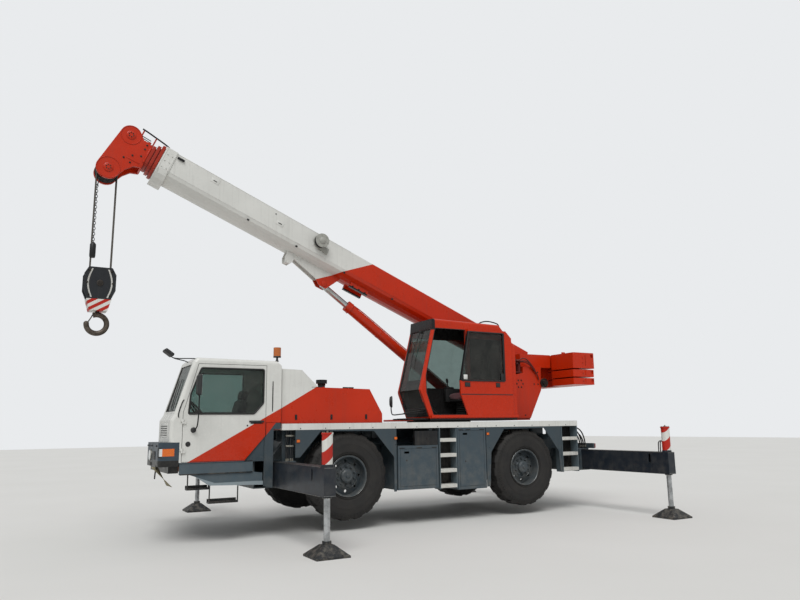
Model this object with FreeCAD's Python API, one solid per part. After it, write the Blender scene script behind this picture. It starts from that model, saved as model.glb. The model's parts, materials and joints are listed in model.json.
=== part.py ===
import FreeCAD, Part
import math
import os

# Two-axle mobile crane on a rough-road carrier, standing on its four outrigger pads.
# Millimetres. The origin is on the ground under the slew centre: +X to the carrier cab,
# +Y to the crane's left, +Z up.

# Overall layout
HALF_WIDTH = 1250.0
FRONT_AXLE_X = 2500.0
REAR_AXLE_X = -1100.0
AXLE_Z = 842.0
PLAY = 0.3
RUNNING_FIT = 0.05

# Wheels and tyres
TYRE_R = 685.0
TYRE_WIDTH = 385.0
TYRE_Y = 1040.0
LUG_HEIGHT = 17.0
LUGS_ROUND = 18
RIM_FLANGE_R = 327.0
RIM_SEAT_R = 314.0
RIM_WIDTH = 330.0
RIM_WALL = 14.0
DISC_OFFSET = 66.0
HUB_R = 168.0
HUB_CAP_R = 108.0

# Axles and steering
KINGPIN_Y = 800.0
KINGPIN_R = 32.0
FIST_R = 68.0
FIST_HALF = 80.0
AXLE_TUBE_R = 70.0
DIFF_R = 200.0
SPINDLE_R = 60.0
YOKE_T = 34.0
STEER_ARM = 260.0
BALL_PIN_R = 14.0
TIE_ROD_R = 19.0

# Frame and deck
RAIL_IN = 300.0
RAIL_OUT = 430.0
RAIL_BOTTOM = 980.0
RAIL_TOP = 1400.0
FRAME_REAR_X = -2950.0
FRAME_FRONT_X = 5150.0
NOSE_TOP = 1100.0
LOW_DECK_TOP = NOSE_TOP + 190
DECK_TOP = 1678.0
DECK_BAND = 100.0
DECK_T = 12.0
DECK_REAR_X = -2420.0
DECK_FRONT_X = 3640.0
EXHAUST_X = 2896.0
EXHAUST_Y = HALF_WIDTH - 240
SLEW_R = 620.0
SLEW_TOP = 1705.0
COUPLING_X = -3010.0
COUPLING_PIN_R = 25.0

# Outriggers
BEAM_X = {"fl": 3645.0, "fr": 3885.0, "rl": -2820.0, "rr": -2580.0}
BEAM_W = 166.0
BEAM_BOTTOM = 735.0
BEAM_TOP = 1107.0
BEAM_CLEAR = 8.0
BEAM_WALL = 14.0
HOUSING_T = 16.0
HOUSING_END_Y = HALF_WIDTH - 250
BEAM_INNER_Y = 600.0
BEAM_SLOT_Y = 2680.0
BEAM_SLOT_R = 24.0
JACK_Y = 3000.0
JACK_POST_R = 72.0
JACK_POST_TOP = 1545.0
JACK_GLAND = 50.0
JACK_ROD_R = 42.0
JACK_BORE_PLAY = 6.0
PAD_SIDE = 460.0
PAD_TOP_SIDE = 150.0
PAD_EDGE = 24.0
PAD_H = 150.0

# Carrier cab, one seat wide, on the left beside the boom's travel place
CAB_IN_Y = 380.0
CAB_WALL = 45.0
CAB_BOTTOM = BEAM_TOP + BEAM_CLEAR + HOUSING_T
CAB_NOTCH_X = 3770.0
CAB_NOTCH_TOP = 1590.0
CAB_REAR_X = 3662.0
CAB_FRONT_X = 5300.0
CAB_TOE_X = 5160.0
BUMPER_TOP = 1430.0
BUMPER_FRONT_X = 5440.0
CAB_ROOF = 2650.0
CAB_EDGE_R = 55.0
BEACON_X = 3705.0
WINDOW_CORNER_R = 38.0
DOOR_GAP = 6.0
DOOR_FRONT_X = 5130.0
DOOR_REAR_X = 3900.0
DOOR_SILL = 1150.0
HINGE_X = DOOR_FRONT_X - DOOR_GAP / 2
HINGE_KNUCKLE_R = 14.0
HINGE_Y = HALF_WIDTH + HINGE_KNUCKLE_R + 1
HINGE_PIN_R = 8.0
HINGE_ZS = (1310.0, 1720.0)

# Cab steps: hangers as x, low z, high z; treads as x from, x to, z
STEP_HANGERS = [(5010, 760, 1040), (4712, 760, 840), (4696, 560, 840), (4284, 560, 830)]
STEP_TREADS = [(4712, 5026, 758), (4284, 4712, 556)]

# Superstructure
SIDE_PLATE_IN = 315.0
SIDE_PLATE_T = 25.0
SIDE_BOX_OUT = 620.0
BASE_PLATE_T = 34.0
TAIL_X = -2100.0
BASE_REAR_X = -1790.0
TAIL_SWEEP_R = 2230.0
OP_CAB_IN = 372.0
OP_CAB_OUT = 1205.0
OP_CAB_BOTTOM = SLEW_TOP + BASE_PLATE_T
WEIGHT_HALF = 1220.0
WEIGHT_REAR_X = -3020.0
WEIGHT_FRONT_X = -2450.0
WEIGHT_NOTCH_X = -2705.0
WEIGHT_BOTTOM = 2390.0
WEIGHT_TOP = 3030.0
WEIGHT_SLABS = [(2715, WEIGHT_TOP, 0), (2545, 2690, 10), (WEIGHT_BOTTOM, 2522, 10)]
WEIGHT_SWEEP_R = math.hypot(WEIGHT_REAR_X, WEIGHT_HALF) + 8
OP_CAB_ROOF = 3505.0
OP_CAB_REAR = -985.0
OP_CAB_FRONT = 940.0
OP_EDGE_R = 45.0
MOTOR_X = -2165.0
MOTOR_Z = 2446.0
OP_CAB_BULGE = 1130.0
OP_WALL = 40.0
SLIDE_DOOR_T = 34.0
SLIDE_IN = OP_CAB_OUT + 10
RAIL_Z = 1797.0
OP_SIDE_WINDOW = [(-500, 2300), (930, 2300), (790, OP_CAB_ROOF - 255), (-500, OP_CAB_ROOF - 255)]
OP_FIXED_WINDOW = [(-660, 2440), (60, 2440), (60, OP_CAB_ROOF - 325), (-660, OP_CAB_ROOF - 325)]
SLIDE_WINDOW = [(-675, 2410), (292, 2410), (108, OP_CAB_ROOF - 205), (-675, OP_CAB_ROOF - 205)]

# Boom: pivot, rest angle and the base section's cross-section in boom coordinates
PIVOT_X = -1550.0
PIVOT_Z = 2420.0
PIVOT_R = 60.0
BOOM_REST_DEG = 22.5
BOOM_TOP = 850.0
BOOM_BELLY = 325.0
BOOM_HALF = 270.0
BOOM_KNEE = 150.0
BOOM_REAR_U = -240.0
BOOM_FRONT_U = 7840.0
BOOM_WALL = 10.0
SECTION_STEP = 22.0
COLLAR_T = 12.0
COLLAR_LENGTH = 200.0
COLLAR_DROP = 85.0
TELE_OUT = (60.0, 125.0, 190.0)
SHEAVE_U = BOOM_FRONT_U + 620
SHEAVE_W = 85.0
SHEAVE_R = 180.0
SHEAVE_ROOT_R = 142.0
SHEAVE_PIN_R = 34.0
SHEAVE_Y = (-70.0, 0.0, 70.0)
TOP_SHEAVE_U = SHEAVE_U - 24
TOP_SHEAVE_W = SHEAVE_W + 715
TOP_HOUSING_R = 202.0
LOW_HOUSING_R = 216.0
JIB_PIN_R = 25.0

# Luffing cylinder: foot pin in the row frame, rod eye in boom coordinates
FOOT_X = -780.0
FOOT_Z = 1860.0
FOOT_PIN_R = 45.0
DRUM_U = 4830.0
DRUM_W = 700.0
DRUM_STEPS = [(92, -2, 150), (128, 26, 38), (128, 138, 150)]
EYE_U = 4400.0
EYE_W = 98.0
EYE_R = 48.0
EYE_HALF = 50.0
EAR_GAP = 62.0
EAR_T = 25.0
BARREL_R = 92.0
BARREL_LENGTH = 3400.0
LUFF_ROD_R = 55.0
LUFF_ROD_LENGTH = 3000.0

# Hook
ROPE_R = 8.0
FALL_OFFSET = SHEAVE_ROOT_R + ROPE_R + 0.3
HOOK_TOP_DROP = 1628.0
BLOCK_H = 500.0
BLOCK_SHEAVE_DROP = 250.0
BLOCK_HALF_X = 230.0
BLOCK_HALF_Y = 130.0
BLOCK_WEIGHT_H = 180.0
SWIVEL_R = 30.0
HOOK_BOWL_R = 145.0
HOOK_BAR_R = 40.0

OUT = "parts"


# General solids
def vec(x, y, z):
    return FreeCAD.Vector(x, y, z)


def box(x0, x1, y0, y1, z0, z1):
    return Part.makeBox(x1 - x0, y1 - y0, z1 - z0, vec(x0, y0, z0))


def rod(r, a, b):
    a = vec(*a)
    run = vec(*b) - a
    return Part.makeCylinder(r, run.Length, a, run)


def ring(r_out, r_in, a, b):
    return rod(r_out, a, b).cut(rod(r_in, a, b))


def plate(points, axis, low, high):
    """Polygon extruded along an axis. Points are (x, z) for "y", (x, y) for "z", (y, z) for "x"."""
    place = {
        "x": lambda p: vec(low, p[0], p[1]),
        "y": lambda p: vec(p[0], low, p[1]),
        "z": lambda p: vec(p[0], p[1], low),
    }[axis]
    run = {"x": vec(high - low, 0, 0), "y": vec(0, high - low, 0), "z": vec(0, 0, high - low)}[axis]
    wire = Part.makePolygon([place(p) for p in points] + [place(points[0])])
    return Part.Face(wire).extrude(run)


def turned(profile, centre_x, centre_y, centre_z):
    """Profile of (radius, y) points turned about an axis along Y."""
    wire = Part.makePolygon([vec(centre_x, centre_y + y, centre_z + r) for r, y in profile + profile[:1]])
    return Part.Face(wire).revolve(vec(centre_x, centre_y, centre_z), vec(0, 1, 0), 360)


def fuse(shapes):
    body = shapes[0]
    if len(shapes) > 1:
        body = body.multiFuse(shapes[1:])
    return body.removeSplitter()


def cut(body, tools):
    for tool in tools:
        body = body.cut(tool)
    return body


def mirror_y(shape):
    return shape.mirror(vec(0, 0, 0), vec(0, 1, 0))


def both_sides(shape):
    return [shape, mirror_y(shape)]


def group(shapes):
    return Part.makeCompound(shapes)


def rounded(shape, radius, test):
    """Fillet the straight edges that the test picks, given their two end points."""
    picked = []
    for edge in shape.Edges:
        if len(edge.Vertexes) == 2 and test(edge.Vertexes[0].Point, edge.Vertexes[1].Point):
            picked.append(edge)
    return shape.makeFillet(radius, picked) if picked else shape


def softened(sheet, radius):
    """Round the corners of a window sheet that lies across Y."""
    return rounded(sheet, radius, lambda p, q: abs(p.y - q.y) > 1)


def boom_to_row(shape):
    """Boom coordinates (along the boom, y, up) into the row frame at the rest angle."""
    moved = shape.copy()
    moved.rotate(vec(0, 0, 0), vec(0, 1, 0), -BOOM_REST_DEG)
    moved.translate(vec(PIVOT_X, 0, PIVOT_Z))
    return moved


def boom_point(u, w):
    a = math.radians(BOOM_REST_DEG)
    return (PIVOT_X + u * math.cos(a) - w * math.sin(a), PIVOT_Z + u * math.sin(a) + w * math.cos(a))


def keep(name, shape):
    shape.exportStep(os.path.join(OUT, name + ".step"))


# Wheels: tyre with shoulder lugs, and a dished disc wheel with a reduction hub
def tyre(x, side):
    half = TYRE_WIDTH / 2
    crown = TYRE_R - LUG_HEIGHT
    bead = RIM_WIDTH / 2 - 12 - PLAY
    profile = [
        (RIM_SEAT_R + PLAY, -bead), (RIM_FLANGE_R + 6, -bead), (RIM_SEAT_R + 70, -half + 8), (RIM_SEAT_R + 180, -half),
        (crown - 50, -half + 10), (crown, -half + 48), (crown, half - 48), (crown - 50, half - 10),
        (RIM_SEAT_R + 180, half), (RIM_SEAT_R + 70, half - 8), (RIM_FLANGE_R + 6, bead), (RIM_SEAT_R + PLAY, bead),
    ]
    body = turned(profile, x, 0, AXLE_Z)
    lugs = []
    for row in (-1, 1):
        outline = [(crown - 6, 12.0), (TYRE_R, 16.0), (TYRE_R, half - 52), (crown - 42, half - 12), (crown - 52, half - 12)]
        wire = Part.makePolygon([vec(x, row * y, AXLE_Z + r) for r, y in outline + outline[:1]])
        for i in range(LUGS_ROUND):
            turn = 360.0 / LUGS_ROUND
            lug = Part.Face(wire).revolve(vec(x, 0, AXLE_Z), vec(0, 1, 0), turn * 0.56)
            lug.rotate(vec(x, 0, AXLE_Z), vec(0, 1, 0), turn * (i + (0.5 if row > 0 else 0)))
            lugs.append(lug)
    whole = fuse([body] + lugs)
    whole.translate(vec(0, side * TYRE_Y, 0))
    return whole


def rim(x, side):
    half = RIM_WIDTH / 2
    inner = RIM_SEAT_R - RIM_WALL
    profile = [
        (SPINDLE_R + RUNNING_FIT, -120), (HUB_R - 30, -120), (HUB_R, -90), (HUB_R, DISC_OFFSET - 20),
        (inner, DISC_OFFSET - 62), (inner, -half), (RIM_FLANGE_R, -half), (RIM_FLANGE_R, -half + 12),
        (RIM_SEAT_R, -half + 12), (RIM_SEAT_R, half - 12), (RIM_FLANGE_R, half - 12), (RIM_FLANGE_R, half),
        (inner, half), (inner, DISC_OFFSET - 40), (HUB_R + 6, DISC_OFFSET), (HUB_CAP_R + 22, DISC_OFFSET),
        (HUB_CAP_R, DISC_OFFSET + 16), (HUB_CAP_R, DISC_OFFSET + 58), (HUB_CAP_R - 26, DISC_OFFSET + 78),
        (0, DISC_OFFSET + 78), (0, 20), (SPINDLE_R + RUNNING_FIT, 20),
    ]
    body = turned(profile, x, 0, AXLE_Z)
    holes = []
    for i in range(8):
        a = math.radians(45 * i)
        hx, hz = x + 238 * math.cos(a), AXLE_Z + 238 * math.sin(a)
        holes.append(rod(24, (hx, -40, hz), (hx, 120, hz)))
    body = cut(body, holes)
    if side < 0:
        body = mirror_y(body)
    body.translate(vec(0, side * TYRE_Y, 0))
    return body


# Steered axle ends
def knuckle(x, side, arm_dir):
    pin_top = AXLE_Z + FIST_HALF + PLAY
    pin_low = AXLE_Z - FIST_HALF - PLAY
    web_in = KINGPIN_Y + FIST_R + 12
    web_out = web_in + 26
    shapes = [
        rod(KINGPIN_R, (x, KINGPIN_Y, pin_low - YOKE_T), (x, KINGPIN_Y, pin_top + YOKE_T)),
        box(x - 58, x + 58, KINGPIN_Y - 50, web_out, pin_top, pin_top + YOKE_T),
        box(x - 58, x + 58, KINGPIN_Y - 50, web_out, pin_low - YOKE_T, pin_low),
        box(x - 58, x + 58, web_in, web_out, pin_low - YOKE_T, pin_top + YOKE_T),
        rod(SPINDLE_R, (x, web_out - 1, AXLE_Z), (x, TYRE_Y + 14, AXLE_Z)),
        plate([(x, KINGPIN_Y + 45), (x, KINGPIN_Y - 45), (x + arm_dir * (STEER_ARM + 24), KINGPIN_Y - 26),
               (x + arm_dir * (STEER_ARM + 24), KINGPIN_Y + 26)], "z", pin_low - YOKE_T, pin_low),
    ]
    ball = (x + arm_dir * STEER_ARM, KINGPIN_Y)
    body = fuse(shapes).cut(rod(BALL_PIN_R + RUNNING_FIT, (*ball, pin_low - YOKE_T - 1), (*ball, pin_low + 1)))
    return body if side > 0 else mirror_y(body)


def tie_rod(x, arm_dir):
    low = AXLE_Z - FIST_HALF - PLAY - YOKE_T
    bx, by = x + arm_dir * STEER_ARM, KINGPIN_Y
    shapes = [rod(TIE_ROD_R, (bx, -by, low - 26), (bx, by, low - 26))]
    for y in (by, -by):
        shapes.append(rod(27, (bx, y, low - 50), (bx, y, low - PLAY)))
        shapes.append(rod(BALL_PIN_R, (bx, y, low - 30), (bx, y, low + YOKE_T - 2)))
    return fuse(shapes)


def axle(x):
    shapes = [rod(AXLE_TUBE_R, (x, -KINGPIN_Y, AXLE_Z), (x, KINGPIN_Y, AXLE_Z))]
    shapes.append(Part.makeSphere(DIFF_R, vec(x, 0, AXLE_Z)))
    for y in (-KINGPIN_Y, KINGPIN_Y):
        shapes.append(rod(FIST_R, (x, y, AXLE_Z - FIST_HALF), (x, y, AXLE_Z + FIST_HALF)))
    for y in (-540, 540):
        shapes.append(rod(60, (x, y, AXLE_Z), (x, y, 1180)))
        shapes.append(rod(36, (x, y, 1170), (x, y, RAIL_TOP)))
    bores = []
    for y in (-KINGPIN_Y, KINGPIN_Y):
        bores.append(rod(KINGPIN_R + RUNNING_FIT, (x, y, AXLE_Z - 200), (x, y, AXLE_Z + 200)))
    return cut(fuse(shapes), bores)


# Carrier frame: two box rails, cross members, slew pedestal and the four outrigger housings
def housing(pair):
    xs = [BEAM_X[key] for key in pair]
    half = BEAM_W / 2 + BEAM_CLEAR
    low = BEAM_BOTTOM - BEAM_CLEAR
    high = BEAM_TOP + BEAM_CLEAR
    outer = box(min(xs) - half - HOUSING_T, max(xs) + half + HOUSING_T, -HOUSING_END_Y, HOUSING_END_Y,
                low - HOUSING_T, high + HOUSING_T)
    tunnels = [box(x - half, x + half, -HOUSING_END_Y - 10, HOUSING_END_Y + 10, low, high) for x in xs]
    return outer, tunnels


def frame():
    front_box, front_tunnels = housing(("fl", "fr"))
    rear_box, rear_tunnels = housing(("rl", "rr"))
    shapes = [front_box, rear_box]
    tray = DECK_TOP - DECK_T
    rail_side = [(FRAME_REAR_X, RAIL_BOTTOM), (FRAME_FRONT_X, RAIL_BOTTOM), (FRAME_FRONT_X, NOSE_TOP),
                 (3560, NOSE_TOP), (3300, RAIL_TOP), (FRAME_REAR_X, RAIL_TOP)]
    rail = plate(rail_side, "y", RAIL_IN, RAIL_OUT)
    shapes += both_sides(rail)
    cross_members = [(-2940, -2800), (-1900, -1780), (-420, -300), (400, 520), (1300, 1420), (3200, 3300)]
    for x0, x1 in cross_members:
        shapes.append(box(x0, x1, -RAIL_IN - 1, RAIL_IN + 1, 1080, RAIL_TOP))
    shapes.append(box(5030, FRAME_FRONT_X, -RAIL_IN - 1, RAIL_IN + 1, RAIL_BOTTOM, NOSE_TOP))
    wide = HALF_WIDTH - 50
    bearers = [(-2360, HALF_WIDTH - 220), (-1760, wide), (-380, wide), (900, wide), (1760, wide), (3180, wide)]
    for x, half in bearers:
        shapes.append(box(x, x + 60, -half, half, RAIL_TOP - 60, RAIL_TOP + 20))
        for y in (650, half - 60):
            shapes += both_sides(box(x, x + 60, y, y + 50, RAIL_TOP, tray))
    shapes.append(box(FRAME_REAR_X, FRAME_REAR_X + 35, 100 - HALF_WIDTH, HALF_WIDTH - 100, BEAM_TOP + 24, BEAM_TOP + 124))
    shapes.append(rod(SLEW_R, (0, 0, RAIL_TOP - 120), (0, 0, SLEW_TOP)))
    for x in (FRONT_AXLE_X, REAR_AXLE_X):
        shapes += both_sides(box(x - 70, x + 70, RAIL_OUT - 5, 610, RAIL_TOP, RAIL_TOP + 40))
    for x0, x1 in ((4100, 4200), (5000, 5100)):
        shapes.append(box(x0, x1, CAB_IN_Y + 20, HALF_WIDTH - 130, NOSE_TOP - 60, CAB_BOTTOM))
    shapes.append(box(COUPLING_X - 60, FRAME_REAR_X + 40, -130, 130, 1150, 1330))
    body = fuse(shapes)
    inside = rod(SLEW_R - 130, (0, 0, RAIL_TOP - 200), (0, 0, SLEW_TOP + 1))
    coupling_bore = rod(COUPLING_PIN_R, (COUPLING_X, 0, 1000), (COUPLING_X, 0, 1400))
    coupling_slot = box(COUPLING_X - 61, COUPLING_X + 45, -131, 131, 1200, 1280)
    return cut(body, front_tunnels + rear_tunnels + [inside, coupling_slot, coupling_bore])


def deck():
    inner = HALF_WIDTH - DECK_T
    low = DECK_TOP - DECK_BAND
    tray = box(DECK_REAR_X, DECK_FRONT_X, -HALF_WIDTH, HALF_WIDTH, low, DECK_TOP)
    hollow = box(DECK_REAR_X + DECK_T, DECK_FRONT_X - DECK_T, -inner, inner, low - 1, DECK_TOP - DECK_T)
    well = rod(SLEW_R + 40, (0, 0, low - 10), (0, 0, DECK_TOP + 10))
    return cut(tray, [hollow, well])


def side_panels():
    low = DECK_TOP - DECK_BAND - PLAY
    outlines = [
        [(3420, low), (3420, 1160), (3345, 1160), (3000, 1555), (2060, 1545), (1686, 1115), (1686, 560),
         (1640, 560), (1640, low)],
        [(-205, low), (-205, 540), (-268, 540), (-311, 1137), (-616, 1540), (-1570, 1548), (-1913, 1108),
         (-1937, 720), (-1985, 720), (-1985, low)],
    ]
    sheets = [plate(o, "y", HALF_WIDTH - 15, HALF_WIDTH) for o in outlines]
    cab_side = [(CAB_REAR_X + 6, 1690), (CAB_REAR_X + 6, CAB_NOTCH_TOP + 6), (CAB_NOTCH_X + 6, CAB_NOTCH_TOP + 6),
                (CAB_NOTCH_X + 6, 735), (DOOR_REAR_X + 15, 765), (DOOR_REAR_X + 15, 1470), (DOOR_REAR_X - 8, 1495),
                (DOOR_REAR_X - 8, 1690)]
    shapes = []
    for sheet in sheets:
        shapes += both_sides(sheet)
    shapes.append(plate(cab_side, "y", HALF_WIDTH - 17.7, HALF_WIDTH))
    return group(shapes)


def side_lockers():
    low = DECK_TOP - DECK_BAND - PLAY
    shapes = []
    for x0, x1, z0, z1 in [(822, 1613, 575, 1290), (-190, 420, 520, low)]:
        body = box(x0, x1, 640, HALF_WIDTH, z0, z1)
        door = box(x0 + 40, x1 - 40, HALF_WIDTH - 6, HALF_WIDTH + 1, z0 + 50, z1 - 50)
        inner = box(x0 + 46, x1 - 46, HALF_WIDTH - 7, HALF_WIDTH, z0 + 56, z1 - 56)
        body = fuse([body.cut(door), inner])
        shapes += both_sides(body)
    hangers = [box(900, 1500, 640, 700, 1290, RAIL_TOP - 60), box(-100, 300, RAIL_OUT, 640, 1120, 1180),
               box(900, 1500, RAIL_OUT, 640, 1120, 1180)]
    for hanger in hangers:
        shapes += both_sides(hanger)
    return group(shapes)


def ladder(x0, x1, z0, steps):
    high = DECK_TOP - DECK_BAND - PLAY
    shapes = [box(x0, x0 + 14, HALF_WIDTH - 190, HALF_WIDTH, z0, high), box(x1 - 14, x1, HALF_WIDTH - 190, HALF_WIDTH, z0, high)]
    pitch = (high - z0) / steps
    for i in range(steps):
        z = z0 + 20 + pitch * i
        shapes.append(box(x0 + 13, x1 - 13, HALF_WIDTH - 190, HALF_WIDTH, z, z + 60))
    shapes.append(box(x0 + 13, x1 - 13, HALF_WIDTH - 200, HALF_WIDTH - 190, z0, high))
    return fuse(shapes)


def ladders():
    shapes = []
    for ladder_solid in (ladder(432, 790, 545, 4), ladder(-2408, -2000, 715, 3)):
        shapes += both_sides(ladder_solid)
    return group(shapes)


def hood():
    half = HALF_WIDTH - 50
    wall = 28
    outer = plate([(1868, DECK_TOP), (1876, 1819), (2112, 2228), (3640, 2255), (3640, DECK_TOP)], "y", -half, half)
    inner = plate([(1898, DECK_TOP - 1), (1904, 1812), (2128, 2202), (3612, 2228), (3612, DECK_TOP - 1)], "y",
                  wall - half, half - wall)
    crown_out = plate([(3030, 2200), (3040, 2250), (3070, 2286), (3310, 2512), (3640, 2523), (3640, 2200)], "y", 420, half)
    crown_in = plate([(3070, 2190), (3082, 2262), (3320, 2484), (3612, 2494), (3612, 2190)], "y", 420 + wall, half - wall)
    # the counterweight's corners pass over the crown when the superstructure slews
    over = rod(WEIGHT_SWEEP_R, (0, 0, WEIGHT_BOTTOM - 8), (0, 0, 2700))
    over_inside = rod(WEIGHT_SWEEP_R + wall, (0, 0, WEIGHT_BOTTOM - 8 - wall), (0, 0, 2700))
    sweep = rod(TAIL_SWEEP_R, (0, 0, DECK_TOP - 10), (0, 0, WEIGHT_BOTTOM))
    inner_sweep = rod(TAIL_SWEEP_R + 25, (0, 0, DECK_TOP - 10), (0, 0, WEIGHT_BOTTOM))
    solid = fuse([outer, crown_out.cut(over)]).cut(sweep)
    shell = solid.cut(fuse([inner, crown_in.cut(over_inside)]).cut(inner_sweep))
    louvres = []
    for i in range(7):
        z = 1790 + 58 * i
        louvres.append(box(3600, 3650, 150 - half, 300, z, z + 30))
    for i in range(10):
        x = 2300 + 70 * i
        louvres.append(box(x, x + 34, -half - 10, 40 - half, 1800, 2080))
    exhaust = rod(58, (EXHAUST_X, EXHAUST_Y, 2230), (EXHAUST_X, EXHAUST_Y, 2330))
    cap = rod(90, (EXHAUST_X, EXHAUST_Y, 2315), (EXHAUST_X, EXHAUST_Y, WEIGHT_BOTTOM - 15))
    return fuse([cut(shell, louvres), exhaust, cap])


def engine():
    return box(2320, 3320, -380, 380, DECK_TOP, 2150)


# Carrier cab
def cab_profile(t):
    return [
        (CAB_REAR_X + t, CAB_NOTCH_TOP + t), (CAB_NOTCH_X + t, CAB_NOTCH_TOP + t), (CAB_NOTCH_X + t, CAB_BOTTOM + t),
        (CAB_TOE_X - t, CAB_BOTTOM + t), (CAB_TOE_X - t, BUMPER_TOP + t), (CAB_FRONT_X - t, BUMPER_TOP + t),
        (CAB_FRONT_X - t, 1740), (5245 - t, 1830), (5005 - t, 2600), (4950 - t, CAB_ROOF - t), (3740 + t, CAB_ROOF - 14 - t),
        (CAB_REAR_X + t, 2560),
    ]


def cab_shell():
    outer = plate(cab_profile(0), "y", CAB_IN_Y, HALF_WIDTH)
    outer = rounded(outer, CAB_EDGE_R, lambda p, q: abs(p.y - q.y) < 1 and max(p.z, q.z) > 1700 and
                    (p.x > CAB_NOTCH_X or q.z > CAB_ROOF - 40))
    inner = plate(cab_profile(CAB_WALL), "y", CAB_IN_Y + CAB_WALL, HALF_WIDTH - CAB_WALL)
    windscreen = box(4900, 5600, CAB_IN_Y + 75, HALF_WIDTH - 75, 1870, CAB_ROOF - 100)
    side_window = softened(plate(CAB_SIDE_WINDOW, "y", CAB_IN_Y - 10, CAB_IN_Y + CAB_WALL + 10), WINDOW_CORNER_R)
    rear_window = box(CAB_REAR_X - 10, CAB_REAR_X + CAB_WALL + 20, CAB_IN_Y + 130, HALF_WIDTH - 130, 2060, CAB_ROOF - 170)
    door_open = plate(door_outline(0), "y", HALF_WIDTH - CAB_WALL - 5, HALF_WIDTH + 10)
    fender_seat = box(CAB_REAR_X - 1, DOOR_REAR_X, HALF_WIDTH - 18, HALF_WIDTH + 1, 1100, 1690 + DOOR_GAP)
    fender_slant = plate([(3890, 1696), (DOOR_REAR_X, 1500), (4230, 1125), (4230, 1100), (3890, 1100)], "y",
                         HALF_WIDTH - 18, HALF_WIDTH + 1)
    shell = cut(outer, [inner, windscreen, side_window, rear_window, door_open, fender_seat, fender_slant])
    hinges = []
    for z in HINGE_ZS:
        hinges.append(box(HINGE_X, CAB_TOE_X, HALF_WIDTH - 1, HINGE_Y + 4, z, z + 34))
        hinges.append(rod(HINGE_KNUCKLE_R, (HINGE_X, HINGE_Y, z), (HINGE_X, HINGE_Y, z + 34)))
    bore = rod(HINGE_PIN_R + RUNNING_FIT, (HINGE_X, HINGE_Y, 1200), (HINGE_X, HINGE_Y, 2100))
    return fuse([shell] + [hinge.cut(bore) for hinge in hinges])


def door_outline(gap):
    g = gap
    return [
        (DOOR_FRONT_X - g, DOOR_SILL + g), (DOOR_FRONT_X - g, 1850), (5098 - g, 1960), (4935 - g, 2560 - g),
        (DOOR_REAR_X + g, 2560 - g), (DOOR_REAR_X + g, 1500), (4205 + g, DOOR_SILL + g),
    ]


DOOR_WINDOW = [(5050, 1830), (5032, 2110), (4890, 2495), (3945, 2495), (3945, 1990), (4085, 1830)]
CAB_SIDE_WINDOW = [(5040, 1860), (4900, 2480), (4010, 2480), (4010, 1860)]


def cab_door():
    panel = plate(door_outline(DOOR_GAP), "y", HALF_WIDTH - CAB_WALL, HALF_WIDTH)
    window = softened(plate(DOOR_WINDOW, "y", HALF_WIDTH - CAB_WALL - 5, HALF_WIDTH + 5), WINDOW_CORNER_R)
    recess = box(3950, 4140, HALF_WIDTH - 14, HALF_WIDTH + 1, 1678, 1712)
    handle = box(3945, 4145, HALF_WIDTH - 1, HALF_WIDTH + 12, 1706, 1726)
    shapes = [cut(panel, [window, recess]), handle]
    for z in HINGE_ZS:
        shapes.append(box(HINGE_X - 45, HINGE_X, HALF_WIDTH - 1, HINGE_Y + 4, z - 30, z - PLAY))
        shapes.append(rod(HINGE_KNUCKLE_R, (HINGE_X, HINGE_Y, z - 30), (HINGE_X, HINGE_Y, z - PLAY)))
        shapes.append(rod(HINGE_PIN_R, (HINGE_X, HINGE_Y, z - 20), (HINGE_X, HINGE_Y, z + 34)))
    return fuse(shapes)


def cab_glass():
    slant = [(5200, 1870), (5206, 1870), (5003.3, CAB_ROOF - 100), (4997.3, CAB_ROOF - 100)]
    front = plate(slant, "y", CAB_IN_Y + 75, HALF_WIDTH - 75)
    side = softened(plate(CAB_SIDE_WINDOW, "y", CAB_IN_Y + 18, CAB_IN_Y + 24), WINDOW_CORNER_R)
    rear = box(CAB_REAR_X + 20, CAB_REAR_X + 26, CAB_IN_Y + 130, HALF_WIDTH - 130, 2060, CAB_ROOF - 170)
    return group([front, side, rear])


def door_glass():
    return softened(plate(DOOR_WINDOW, "y", HALF_WIDTH - 26, HALF_WIDTH - 20), WINDOW_CORNER_R)


def cab_interior():
    floor = CAB_BOTTOM + CAB_WALL + PLAY
    seat_y = (CAB_IN_Y + HALF_WIDTH) / 2
    shapes = [
        box(4250, 4640, seat_y - 170, seat_y + 170, floor, 1420),
        box(4200, 4700, seat_y - 230, seat_y + 230, 1420, 1540),
        plate([(4200, 1540), (4330, 1540), (4180, 2190), (4080, 2190)], "y", seat_y - 220, seat_y + 220),
    ]
    seat = fuse(shapes)
    dash = plate([(4990, 1560), (5190, 1500), (5200, 1780), (5010, 1760)], "y", CAB_IN_Y + CAB_WALL + 2, HALF_WIDTH - CAB_WALL - 2)
    post = box(5020, 5100, seat_y - 60, seat_y + 60, floor, 1580)
    column = rod(24, (5080, seat_y, 1650), (4830, seat_y, 1850))
    wheel = Part.makeTorus(205, 15, vec(4820, seat_y, 1858), vec(-250, 0, 200))
    spoke = rod(12, (4820, seat_y - 205, 1858), (4820, seat_y + 205, 1858))
    hub = rod(42, (4838, seat_y, 1844), (4806, seat_y, 1869.6))
    controls = fuse([dash, post, column, wheel, spoke, hub])
    return group([seat, controls])


def door_mirror():
    foot = rod(26, (4975, HALF_WIDTH + PLAY, 1600), (4975, HALF_WIDTH + 40, 1600))
    arm = rod(9, (4975, HALF_WIDTH + 34, 1600), (4960, HALF_WIDTH + 150, 2050))
    stem = rod(9, (4960, HALF_WIDTH + 150, 2040), (4950, HALF_WIDTH + 150, 2440))
    body = box(4925, 4985, HALF_WIDTH + 60, HALF_WIDTH + 240, 2080, 2400)
    return fuse([foot, arm, stem, body])


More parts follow.
